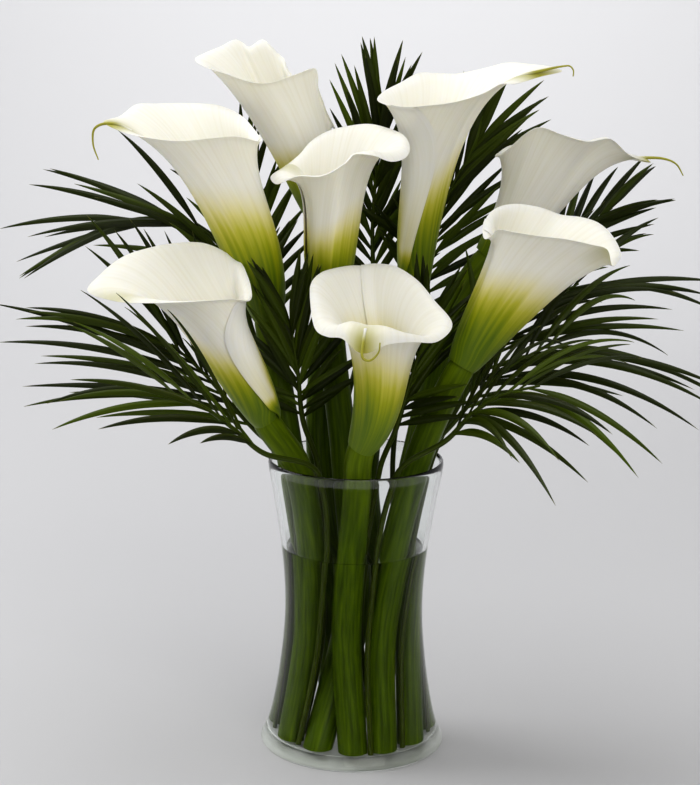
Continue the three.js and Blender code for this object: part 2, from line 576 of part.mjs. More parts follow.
// Leaflet number i on one side of a rib, bent clear of its neighbours, or none where nothing is clear
function growLeaflet(frond, i, side, draw) {
  const off = (range) => range * (draw() - 0.5);
  const place = (i + 0.5 + STAGGER * side + off(JITTER.place)) / frond.pairs;
  const [atFoot, atEnd] = frond.spread;
  const [arcStart, arcEnd] = LENGTH_ARC;
  const share = frond.bare + (1 - frond.bare) * place;
  const { point, direction } = along(frond.ribPath, share * frond.ribLength);
  const face = sum([1, frond.face], [-frond.face.dot(direction), direction]).normalize();
  const outward = cross(face, direction).multiplyScalar(side);
  const angle = atFoot + (atEnd - atFoot) * place + off(JITTER.angle);
  const lift = LIFT + off(JITTER.lift);
  const arc = Math.sin(Math.PI * (arcStart + (arcEnd - arcStart) * place));
  const full = frond.reach * (SHORTEST + (1 - SHORTEST) * arc) * (1 + off(JITTER.length));
  const droop = frond.droop * (1 + off(JITTER.droop));
  for (const [sideways, upward, size] of LEAFLET_BENDS) {
    const open = rad(angle + sideways);
    const raise = rad(lift + upward);
    const flat = sum([Math.cos(open), direction], [Math.sin(open), outward]);
    const heading = sum([Math.cos(raise), flat], [Math.sin(raise), face]);
    const leaflet = { root: point, heading, face, length: full * size, droop };
    const samples = Array.from({ length: LEAFLET_SAMPLES }, (_, k) =>
      leafletPoint(leaflet, LEAFLET_START + (1 - LEAFLET_START) * k / (LEAFLET_SAMPLES - 1)));
    if (isClear(frond.name, samples)) return { ...leaflet, samples };
  }
  return null;
}

// A leaflet's three-sided blade
const AHEAD = 0.02;
function blade(leaflet) {
  const rings = LEAFLET_OUTLINE.map(([share, wide]) => {
    const point = leafletPoint(leaflet, share);
    const run = sum([1, leafletPoint(leaflet, share + AHEAD)], [-1, point]).normalize();
    const across = cross(leaflet.face, run).normalize();
    const up = cross(run, across);
    const half = LEAFLET_WIDTH / 2 * wide;
    return [sum([1, point], [-half, across]), sum([1, point], [half, across]),
      sum([1, point], [LEAFLET_RIDGE * Math.sqrt(wide), up])];
  });
  rings.push([leafletPoint(leaflet, 1)]);
  return loft(rings);
}

function prepareFrond(record) {
  const stalk = record.stalk.map(polar);
  const whole = path([...stalk, ...record.rib.map((p) => vec(...p))]);
  const ribStart = whole[stalk.length * STATIONS_PER_SPAN].length;
  const ribPath = whole.slice(stalk.length * STATIONS_PER_SPAN)
    .map((station) => ({ ...station, length: station.length - ribStart }));
  const stalkShare = ribStart / whole.at(-1).length;
  return { ...record, face: vec(...record.face).normalize(), whole, ribPath,
    ribLength: ribPath.at(-1).length, stalkShare,
    shares: [...steps(0, stalkShare, STALK_STEPS), ...steps(stalkShare, 1, RIB_STEPS).slice(1)] };
}

function stalkRadius({ stalkShare }) {
  return (share) => STALK_RADIUS + (RIB_END_RADIUS - STALK_RADIUS)
    * Math.max(0, (share - stalkShare) / (1 - stalkShare));
}

function growFrond(frond, index) {
  const draw = drawer(SEED + SEED_STEP * index);
  const leaflets = [];
  for (let i = 0; i < frond.pairs; i++) {
    for (const side of [-1, 1]) {
      const leaflet = growLeaflet(frond, i, side, draw);
      if (leaflet) leaflets.push(leaflet);
    }
  }
  leaflets.forEach((leaflet) => block(frond.name, leaflet.samples, LEAFLET_THICKNESS));
  const rings = rod(frond.whole, frond.shares, STALK_SIDES, stalkRadius(frond), FOOT_HEIGHT);
  return leaflets.reduce((body, leaflet) => body.add(solid(blade(leaflet))), solid(loft(rings)));
}

const arrangement = new THREE.Group();
function place(name, geometry, finish) {
  geometry.computeVertexNormals();
  const mesh = new THREE.Mesh(geometry, new THREE.MeshStandardMaterial(COLOURS[finish]));
  mesh.name = name;
  arrangement.add(mesh);
}

const blooms = BLOOMS.map(prepare);
const fronds = FRONDS.map(prepareFrond);

blooms.forEach((bloom) => {
  block("bloom", sheetGrid(bloom, ...SHEET_SAMPLES, 0).flat(), SHEET_THICKNESS);
  block("bloom", stemPath(bloom).map((station) => station.point), STEM_RADIUS);
});
fronds.forEach((frond) => block(frond.name, frond.whole.map((station) => station.point), STALK_RADIUS));

place("vase", vase(), "glass");
place("water", water([
  ...blooms.map((bloom) => ({ stations: stemPath(bloom), shares: STEM_SHARES, radius: STEM_RADIUS,
    sides: STEM_SIDES })),
  ...fronds.map((frond) => ({ stations: frond.whole, shares: frond.shares, radius: STALK_RADIUS,
    sides: STALK_SIDES })),
]), "water");
blooms.forEach((bloom, i) => {
  place(`calla_${i + 1}_stem`, stem(bloom), "stem");
  place(`calla_${i + 1}_spathe`, spathe(bloom), "spathe");
  place(`calla_${i + 1}_spadix`, spadix(bloom), "spadix");
});
fronds.forEach((frond, i) => place(`palm_${frond.name}`, geometryOf(growFrond(frond, i)), "palm"));

export default arrangement;
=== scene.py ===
# Eight calla lilies and twelve palm fronds in one flared clear glass vase of water: the looks.
# Lengths are in millimetres, as in the part's source, until a mesh takes them in the scene's metres.
import math

import bpy
import numpy as np
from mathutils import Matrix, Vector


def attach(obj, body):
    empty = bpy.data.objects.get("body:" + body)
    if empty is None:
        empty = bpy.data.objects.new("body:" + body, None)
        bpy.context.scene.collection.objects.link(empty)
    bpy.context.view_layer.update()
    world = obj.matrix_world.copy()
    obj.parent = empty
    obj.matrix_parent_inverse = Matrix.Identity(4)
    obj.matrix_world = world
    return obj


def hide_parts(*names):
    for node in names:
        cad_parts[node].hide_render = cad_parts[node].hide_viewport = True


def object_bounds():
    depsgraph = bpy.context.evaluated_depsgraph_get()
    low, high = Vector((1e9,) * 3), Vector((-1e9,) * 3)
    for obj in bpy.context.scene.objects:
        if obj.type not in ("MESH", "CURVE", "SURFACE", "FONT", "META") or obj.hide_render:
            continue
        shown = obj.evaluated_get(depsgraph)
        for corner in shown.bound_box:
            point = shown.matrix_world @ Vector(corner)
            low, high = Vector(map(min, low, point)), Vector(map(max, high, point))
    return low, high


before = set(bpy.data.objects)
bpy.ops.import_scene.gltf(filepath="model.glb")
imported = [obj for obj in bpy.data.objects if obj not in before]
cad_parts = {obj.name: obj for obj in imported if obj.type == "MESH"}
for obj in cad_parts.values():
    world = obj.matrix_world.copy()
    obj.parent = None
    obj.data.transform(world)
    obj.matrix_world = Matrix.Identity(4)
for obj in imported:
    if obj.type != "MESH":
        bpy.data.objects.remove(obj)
cad_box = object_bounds()

MM = 0.001

# A Mix node's sockets for colour: its share, the colours it mixes and the result
MIX_SHARE, MIX_FROM, MIX_TO, MIXED_COLOUR = 0, 6, 7, 2

# Where the photograph was taken from, how far the camera tips down and leans, and its lens
CAMERA_PLACE = (-5.3, -1556, 622)
CAMERA_TIP = 12.37
CAMERA_LEAN = 0.83
LENS = 95.67
CAMERA_NEAR = 0.05

# The floor's reach, the height it goes up to and the radius of its bend
FLOOR_REACH, FLOOR_RISE, FLOOR_BEND = 3300, 700, 1600
FLOOR_GRID = (96, 80)
SKY_STRENGTH = 0.42

# Corners closer than this are one, in metres
SAME_CORNER = 0.00001
# A direction with more than this share of it along an axis runs along that axis
ALONG_AXIS = 0.9

# The vase's side as (radius, height), outside upward and inside downward; it stands on a narrow ring
VASE_OUTSIDE = [(0, 1.5), (58, 1.5), (65, 0), (69.5, 0), (72, 3), (71, 7), (66.3, 15), (61.8, 34),
                (56.9, 64), (52.9, 106), (54.9, 148), (61.2, 190), (67, 222), (67.6, 228), (66.5, 230)]
VASE_FLOOR = 7
VASE_INSIDE = [(64.6, 229), (63.6, 222), (57.8, 190), (51.5, 148), (49.5, 106), (53.5, 64),
               (58.4, 34), (61.4, 18), (61.6, 11), (59.5, VASE_FLOOR), (0, VASE_FLOOR)]
VASE_FACETS = 192
VASE_CREASE = 40
# Heights between which the vase is plain wall, above its foot and below its lip
FOOT_TOP = 12
LIP_FOOT = 222
# The glass's own tint, the one that calms what glass and water mirror face on, and how far they bend light
GLASS_TINT, CALM = "#FBFDFC", "#303030"
GLASS_IOR, WATER_IOR = 1.5, 1.333

WATER_LEVEL = 160
# Water runs this far into the glass, so that no film of air shows between them
WATER_WETTING = 0.25
# Water climbs the glass by this much at its edge, in a slope this wide with this many steps
MENISCUS = 1.0
MENISCUS_REACH = 4
MENISCUS_STEPS = 7
# The water's edge, where it turns from its side to its open face, is at most this deep
WATER_EDGE = 1
WATER_FACES_UP = 0.1

SEAT = 0.3
FOOT = VASE_FLOOR + SEAT
STEM_RADIUS = 10.5
# A stem's head runs this far into the spathe and is narrower there, from just before to just after its foot
STEM_TUCK = 4
STEM_NECKS_IN = 0.6
NECK_SPAN = (-2, 1)
# A stem's unevenness: waves round it and how high each stands
STEM_WAVES = ((3, 0.12), (-11, -0.08))
STEM_WAVE_SHIFT = 1.7
STEM_GRID = (40, 90)

SPATHE_WALL = 1.2
BLOOM_CREASE = 80
SPATHE_GRID = (132, 72)
# The curve up a spathe's side: its handles, and how a ruffle grows towards the rim
LOW_HANDLE = 0.42
HIGH_HANDLE = 0.3
RUFFLE_FADE = 4
RUFFLE_REACH = 1 / 11
# How a curled rim bulges out and turns down, from this share of the height
LIP_START = 0.68
CURL_BULGE = 0.45
CURL_SHARPNESS = 2.6
# The spathe's outermost edge rolls outward by this much, from this share of its height
LIP_ROLL = 2.2
LIP_ROLL_START = 0.93
# Where the lap opens above the throat, and how its width peaks
LAP_OPENS = (-0.01, 0.12)
LAP_PEAK = 0.8
# The share of the step between the lapped layers that closes towards the mouth, from this height up
LAP_CLOSES = 0.65
LAP_CLOSES_FROM = 0.5
# Below this share the sheet's layers are set apart level, square to the throat's axis
THROAT_FLAT = 0.15
# The step along the sheet from which its slope is taken
NEAR = 0.01
# How fast a spathe's wall thins to its side edges, its rim and its foot, and the least share left of it
SIDE_THINS, RIM_THINS, FOOT_THINS = 25, 12, 30
SPATHE_THINNEST = 0.25
# Where a spathe's green foot starts and ends to fade, as shares of its reach
GREEN_FADES = (0.15, 2)
# Where the lapping layer of some spathes stays white: towards its edge, and above its foot
WHITE_FROM = (0.7, 0.86)
WHITE_ABOVE = (0.06, 0.2)
# The green at a spathe's tip: its half width, where it starts, and its strength where there is no tail
TIP_WIDTH = 0.07
TIP_FROM = 0.78
TIP_WITHOUT_TAIL = 0.5

TAIL_RADIUS = 1.5
TAIL_TAPER = 0.7
TAIL_ROOTS = (0.9, 0.97)
TAIL_GREENS_BY = 0.3
TAIL_GRID = (12, 40)

SPADIX_RADIUS = 4.6
SPADIX_LENGTH = 66
SPADIX_TAPER = 0.3
SPADIX_TIP = 2
# How blunt the spadix's end is, and its florets: how many round it and along it, and how high they stand
SPADIX_BLUNT = 12
FLORETS = (14, 34)
FLORET_HEIGHT = 0.32
FLORET_SINKS = 0.3
SPADIX_END_RADIUS = 0.05
SPADIX_GRID = (56, 136)

STALK_RADIUS = 2.1
RIB_END_RADIUS = 0.9
RIB_GRID = (10, 80)
RIB_SHADE = 0.6
RIB_ALONG = 0.2
FROND_CREASE = 50

LEAFLET_WIDTH = 6
LEAFLET_RIDGE = 1.4
RIDGE_SHARPNESS = 1.2
LEAFLET_WALL = 0.35
LEAFLET_GRID = (6, 22)
# A leaflet's outline: how wide its foot is, where it is widest, and how fast it narrows to its point
LEAFLET_FOOT = 0.22
LEAFLET_FOOT_START = -0.05
LEAFLET_WIDEST = 0.3
LEAFLET_POINTS = 2.1
# How the leaflets of a frond stand: staggered, lifted from its face, and shorter at its ends
STAGGER = 0.22
LIFT = 6
SHORTEST = 0.5
LENGTH_ARC = (0.12, 0.84)
JITTER = dict(place=0.2, angle=10, lift=12, length=0.2, droop=0.6)
SEED = 97
SEED_STEP = 31
# A frond's further leaflets open wider by this much at the rib's foot, in degrees
FILLER_OPENS = 20
# The ways a leaflet may bend clear, tried in turn: sideways and upward in degrees, and its length's share
LEAFLET_BENDS = [(0, 0, 1), (10, 0, 1), (-10, 0, 1), (0, 14, 1), (0, -14, 1), (18, 10, 0.9),
                 (-18, -10, 0.9), (0, 26, 0.8), (0, -26, 0.8), (0, 0, 0.66), (12, 12, 0.6), (-12, -12, 0.6)]
# How far leaflets keep from other pieces; further leaflets lie closer
CLEARANCE = 4.6
FILLER_CLEARANCE = 2.4
# The room of the vase, which leaflets keep out of
VASE_REACH = 78
VASE_TOP = 236
# Leaflets stay in the model's box, or this little outside it
BOX_LOW, BOX_HIGH = (np.array(corner) / MM for corner in cad_box)
BOX_EASE = 0.5
# How finely sheets and leaflets are sampled to find what is clear, and how thick they count
SHEET_SAMPLES = (49, 20)
SHEET_THICKNESS = 1.8
LEAFLET_SAMPLES = 24
LEAFLET_START = 0.1
LEAFLET_THICKNESS = 2.4
STATIONS_PER_SPAN = 16

# Each bloom. throat: the bottom of its rolled tube. lean: how far, and to which side, the tube starts
# out. rim: stations round the mouth as (across, away, up, flare degrees, curl), in mm from the throat.
# seam: the rim station where the sheet's two edges lap. lap, mouth_lap: how far they lap at mid height
# and at the mouth, in degrees. hug: half the step between the lapped layers. swell: how fast the tube
# widens. green: how far up the spathe its green foot reaches, as a share. white_edge: how white the lapping
# layer's edge stays in that foot. stem: waypoints as (radius, azimuth, height). tail: the waypoints of the
# tip's tail.
BLOOMS = [
    dict(throat=(-31, 88, 404), lean=(14, 175), seam=18, lap=20, swell=0.32, green=0.25,
         rim=[(-3, 16, 81, 35), (-15, 22, 99, 25), (-29, 28, 116, 20), (-35, 35, 126, 20),
              (-48, 38, 137, 15), (-60, 40, 131, 10), (-69, 42, 137, 5), (-80, 28, 133, 32),
              (-91, 10, 129, 38), (-98, -6, 125, 40), (-89, -22, 120, 22), (-71, -34, 115, 10),
              (-54, -41, 110, 8), (-39, -40, 109, 10), (-22, -28, 114, 15), (-7, -14, 118, 20),
              (-5, -10, 104, 18), (1, -4, 89, 15), (9, 4, 72, 15)],
         stem=[(46.8, 92, FOOT), (36.5, 108, 106), (50, 125, 225)]),
    dict(throat=(-69, 12, 335), lean=(10, 200), seam=6.5, lap=30, swell=0.3, green=0.36,
         rim=[(-123, -4, 151, 48), (-104, -24, 145, 42), (-85, -40, 143, 36), (-63, -50, 142, 34),
              (-41, -48, 144, 40), (-23, -36, 144, 35), (-8, -14, 138, 25), (-13, 10, 144, 30),
              (-25, 30, 154, 40), (-43, 44, 160, 45), (-67, 50, 161, 50), (-89, 45, 161, 52),
              (-103, 34, 161, 48), (-113, 14, 154, 50)],
         stem=[(46.8, 160, FOOT), (36.5, 163, 106), (50, 176, 225)],
         tail=[(-129, -5, 144), (-131, -6, 132), (-127, -7, 120)]),
    dict(throat=(-22, 8, 346), lean=(2, 180), seam=0, lap=25, swell=0.34, green=0.28,
         rim=[(-35, 2, 107, 60), (-45, -6, 101, 95), (-40, -16, 97, 95), (-24, -35, 105, 55),
              (-6, -48, 107, 45), (9, -54, 116, 35), (17, -54, 128, 40, 4), (30, -52, 134, 55, 10),
              (42, -44, 131, 65, 12), (52, -28, 130, 65, 10), (57, -8, 129, 65, 4), (55, 15, 131, 60),
              (46, 34, 134, 50), (29, 46, 137, 45), (12, 48, 135, 45), (-3, 44, 131, 40),
              (-15, 34, 124, 40), (-23, 20, 115, 40)],
         stem=[(45, 238, FOOT), (2, 238, 106), (10, 150, 225)]),
    dict(throat=(45, 68, 351), lean=(1, 180), seam=7, lap=42, swell=0.16, green=0.3,
         mouth_lap=10, hug=-1.5, white_edge=0.85,
         rim=[(110, 0, 174, 80), (92, -10, 170, 74), (72, -22, 165, 64), (60, -30, 165, 55),
              (46, -37, 158, 50), (26, -44, 152, 45), (5, -46, 149, 40), (-14, -38, 147, 35),
              (-30, -16, 150, 45), (-26, 8, 155, 45), (-13, 24, 161, 45), (1, 36, 168, 50),
              (16, 42, 168, 50), (31, 42, 168, 50), (52, 37, 173, 50), (71, 26, 178, 60),
              (91, 11, 177, 70)],
         stem=[(46.8, 12, FOOT), (36.5, 52, 106), (50, 80, 225)],
         tail=[(114, 0, 175), (118, -1, 172), (118, -2, 167)]),
    dict(throat=(102, 84, 373), lean=(44, 5), seam=8, lap=30, swell=0.3, green=0.16,
         rim=[(127, 0, 81, 58), (108, -20, 88, 55), (90, -36, 102, 52), (71, -48, 101, 48),
              (52, -54, 106, 42), (35, -52, 111, 38), (23, -42, 103, 35), (8, -22, 86, 35),
              (8, 4, 84, 40), (19, 28, 88, 40), (36, 46, 89, 42), (59, 52, 87, 44), (81, 46, 85, 46),
              (101, 30, 83, 52), (115, 14, 81, 56)],
         stem=[(46.8, 330, FOOT), (36.5, 357, 106), (50, 24, 225)],
         tail=[(136, -1, 81), (146, -2, 77), (152, -2, 68)]),
    dict(throat=(78, -34, 310), lean=(30, 5), seam=8, lap=35, swell=0.28, green=0.36, mouth_lap=8,
         rim=[(108, -4, 80, 24), (101, -25, 95, 26), (87, -40, 101, 30), (68, -50, 106, 34),
              (50, -52, 108, 36), (33, -44, 109, 30), (23, -32, 108, 30), (15, -20, 101, 60),
              (15, -4, 109, 60), (21, 12, 115, 35), (31, 26, 118, 30), (44, 38, 118, 35),
              (60, 45, 115, 40), (75, 48, 110, 42), (90, 44, 109, 44), (102, 34, 106, 42),
              (111, 20, 98, 38), (116, 6, 86, 32)],
         stem=[(46.8, 298, FOOT), (36.5, 305, 106), (49, 335, 225)]),
    dict(throat=(-68, -38, 267), lean=(28, 222), seam=6, lap=55, swell=0.28, green=0.3,
         mouth_lap=10, hug=-1.5, white_edge=0.85,
         rim=[(-133, 0, 98, 78), (-109, -22, 95, 70), (-86, -38, 97, 62), (-62, -46, 99, 50),
              (-40, -44, 100, 40), (-25, -34, 99, 30), (-14, -18, 96, 40), (-14, 0, 103, 60),
              (-18, 14, 111, 55), (-24, 28, 118, 45), (-36, 30, 125, 35), (-53, 34, 130, 35),
              (-76, 34, 129, 45), (-96, 30, 125, 55), (-113, 28, 118, 65), (-126, 14, 108, 74)],
         stem=[(46.8, 206, FOOT), (36.5, 212, 106), (49, 212, 221)]),
    dict(throat=(4, -58, 252), lean=(30, -32), seam=9, lap=20, swell=0.26, green=0.38, mouth_lap=3,
         rim=[(1, -62, 127, 40, 38), (-11, -56, 124, 45, 27), (-23, -44, 108, 60, 13),
              (-33, -28, 102, 70, 5), (-38, -10, 111, 65), (-38, 8, 123, 55), (-31, 22, 129, 45),
              (-20, 33, 131, 40), (-9, 39, 132, 38), (-1, 40, 132, 38), (8, 41, 133, 38),
              (23, 36, 132, 45), (39, 22, 124, 48), (51, 6, 112, 48), (62, -14, 103, 46, 4),
              (50, -36, 99, 40, 8), (32, -52, 108, 40, 14), (15, -62, 123, 40, 28)],
         stem=[(46.8, 271, FOOT), (36.5, 262, 106), (47.5, 271, 210)],
         tail=[(-1, -80, 84), (4, -81, 82), (10, -82, 88), (11, -82, 95)]),
]

# Each palm frond. stalk: waypoints inside the vase as (radius, azimuth, height). rib: waypoints above it
# as (across, away, up). face: the way the leaf's upper side looks. pairs: leaflets on each side. more:
# further pairs between them, which fill the leaf out. reach: the longest leaflet. droop: how far a
# leaflet's tip sinks, as a share of its length. bare: the share of the rib that carries no leaflets.
# spread: how far the leaflets open from the rib, in degrees, at its foot and at its end.
FRONDS = [
    dict(name="back_centre", pairs=7, more=14, reach=92, droop=0.06, bare=0.25,
         spread=(28, 10), face=(0, -1, 0.3),
         stalk=[(50, 55, FOOT), (44, 80, 106), (52, 103, 225)],
         rib=[(11, 104, 335), (11, 118, 394), (14, 120, 450), (17, 118, 484)]),
    dict(name="back_right", pairs=8, more=14, reach=100, droop=0.12, bare=0.15,
         spread=(34, 10), face=(0.1, -1, 0.3),
         stalk=[(51, 354, FOOT), (44, 28, 106), (53, 56, 225)],
         rib=[(53, 104, 327), (61, 114, 379), (73, 122, 422), (96, 126, 462)]),
    dict(name="right_back", pairs=7, more=4, reach=84, droop=0.18, bare=0.25,
         spread=(36, 12), face=(-0.1, -0.8, 0.6),
         stalk=[(26, 345, FOOT), (19, 348, 106), (31, 347, 165), (56, 5, 224)],
         rib=[(104, 56, 308), (141, 92, 351), (177, 104, 392), (202, 104, 412)]),
    dict(name="right", pairs=8, more=3, reach=140, droop=0.3, bare=0.08,
         spread=(32, 18), face=(0, -0.7, 0.7),
         stalk=[(52, 314, FOOT), (44, 324, 106), (57, 351, 224)],
         rib=[(81, 14, 273), (110, 26, 310), (141, 38, 342), (171, 46, 360)]),
    dict(name="right_low", pairs=9, more=2, reach=160, droop=0.42, bare=0.03,
         spread=(34, 24), face=(0, -0.6, 0.8),
         stalk=[(30, 318, FOOT), (19, 316, 106), (28, 338, 165), (46, 354, 225)],
         rib=[(73, -8, 259), (96, -12, 288), (123, -12, 310), (148, -8, 323)]),
    dict(name="right_lowest", pairs=7, more=1, reach=128, droop=0.42, bare=0.03,
         spread=(36, 24), face=(0, -0.5, 0.85),
         stalk=[(55, 284.5, FOOT), (46.3, 284, 106), (54, 303, 226)],
         rib=[(67, -62, 260), (85, -76, 284), (107, -86, 300), (131, -92, 308)]),
    dict(name="left_up", pairs=8, more=3, reach=125, droop=0.16, bare=0.1,
         spread=(28, 14), face=(0, -0.8, 0.6),
         stalk=[(51, 138, FOOT), (44, 143, 106), (53, 157, 225)],
         rib=[(-83, 56, 318), (-100, 70, 369), (-129, 78, 396), (-165, 80, 402), (-191, 76, 399)]),
    dict(name="left_low", pairs=9, more=2, reach=168, droop=0.2, bare=0.02,
         spread=(34, 18), face=(0, -0.75, 0.65),
         stalk=[(51, 183, FOOT), (44, 188, 106), (53, 194, 229)],
         rib=[(-75, -2, 248), (-94, 6, 266), (-118, 14, 291), (-143, 18, 313)]),
    dict(name="left_lowest", pairs=7, more=1, reach=138, droop=0.22, bare=0.03,
         spread=(34, 20), face=(0, -0.5, 0.85),
         stalk=[(51, 222, FOOT), (44, 237, 106), (53, 239, 226)],
         rib=[(-69, -70, 250), (-90, -86, 272), (-114, -96, 292), (-140, -100, 303)]),
    dict(name="middle_left", pairs=5, more=12, reach=85, droop=0.12, bare=0.15,
         spread=(36, 16), face=(0, -1, 0.2),
         stalk=[(30, 190, FOOT), (19, 196, 106), (30, 190, 225)],
         rib=[(-41, -8, 261), (-45, -16, 301), (-51, -18, 338)]),
    dict(name="middle_right", pairs=5, more=12, reach=88, droop=0.12, bare=0.15,
         spread=(36, 16), face=(0, -1, 0.2),
         stalk=[(20, 325, FOOT), (19, 282, 106), (28, 310, 225)],
         rib=[(30, -30, 261), (41, -26, 300), (51, -22, 334)]),
    dict(name="back_left", pairs=6, more=12, reach=80, droop=0.1, bare=0.25,
         spread=(34, 14), face=(0, -1, 0.3),
         stalk=[(51, 115, FOOT), (44, 128, 106), (53, 143, 225)],
         rib=[(-77, 88, 312), (-83, 108, 364), (-90, 116, 409), (-96, 118, 440)]),
]

UP = np.array((0, 0, 1.0))
AWAY = np.array((0, 1.0, 0))


def dot(a, b):
    return np.sum(a * b, axis=-1, keepdims=True)


def unit(v):
    return v / np.sqrt(dot(v, v))


def column(values):
    """An array of numbers, ready to scale points."""
    return np.asarray(values, float)[..., None]


def ease(x, a, b):
    """0 below a, 1 above b, smooth between."""
    k = np.clip((np.asarray(x, float) - a) / (b - a), 0, 1)
    return k * k * (3 - 2 * k)


def polar(place):
    radius, azimuth, height = place
    turn = math.radians(azimuth)
    return np.array((radius * math.cos(turn), radius * math.sin(turn), height))


def bezier(a, b, c, d, k):
    return (1 - k) ** 3 * a + 3 * (1 - k) ** 2 * k * b + 3 * (1 - k) * k ** 2 * c + k ** 3 * d


def closed_curve(points, turns):
    """The smooth closed curve through points, at shares of its whole turn."""
    place = np.asarray(turns, float) * len(points)
    first = np.floor(place).astype(int)
    k = column(place - first)
    before, start, end, after = (points[(first + step) % len(points)] for step in (-1, 0, 1, 2))
    leave = (end - before) / 2
    arrive = (after - start) / 2
    return (start + leave * k + (3 * (end - start) - 2 * leave - arrive) * k ** 2
            + (2 * (start - end) + leave + arrive) * k ** 3)


def drawer(seed):
    """Repeatable draws between 0 and 1."""
    state = seed
    while True:
        state = (state * 1664525 + 1013904223) % 2 ** 32
        yield state / 2 ** 32


class Path:
    """A smooth path through waypoints, in stations with a point, a direction and the length so far."""

    def __init__(self, waypoints, end_direction=None, stations=STATIONS_PER_SPAN):
        ways = np.array(waypoints, float)
        last = len(ways) - 1
        numbers = np.arange(last + 1)
        heading = unit(ways[np.minimum(numbers + 1, last)] - ways[np.maximum(numbers - 1, 0)])
        if end_direction is not None:
            heading[last] = end_direction
        shares = column(np.linspace(0, 1, stations + 1))
        spans = [ways[:1]]
        for i in range(last):
            handle = np.linalg.norm(ways[i + 1] - ways[i]) / 3
            span = bezier(ways[i], ways[i] + handle * heading[i],
                          ways[i + 1] - handle * heading[i + 1], ways[i + 1], shares)
            spans.append(span[1:])
        self.points = np.concatenate(spans)
        steps = np.linalg.norm(np.diff(self.points, axis=0), axis=1)
        self.lengths = np.concatenate(([0], np.cumsum(steps)))
        self.length = self.lengths[-1]
        middle = unit(self.points[2:] - self.points[:-2])
        self.directions = np.concatenate((heading[:1], middle, heading[last:]))

    def at(self, length):
        """Points and directions at lengths along the path."""
        point, direction = (np.stack([np.interp(length, self.lengths, values[:, i]) for i in range(3)], -1)
                            for values in (self.points, self.directions))
        return point, unit(direction)


def rings(path, share, around, radius, level=None):
    """Points round a path, at shares of its length and of a turn; its foot may be cut level at a height."""
    point, direction = path.at(np.asarray(share) * path.length)
    steep = np.abs(direction[..., 1:2]) > ALONG_AXIS
    side = unit(np.cross(np.where(steep, UP, AWAY), direction))
    rise = np.cross(direction, side)
    turn = column(2 * math.pi * np.asarray(around))
    placed = point + column(radius) * (np.cos(turn) * side + np.sin(turn) * rise)
    if level is None:
        return placed
    slide = (level - placed[..., 2:]) / direction[..., 2:]
    cut = (column(share) <= 0) | (placed[..., 2:] < level)
    return placed + np.where(cut, slide, 0) * direction


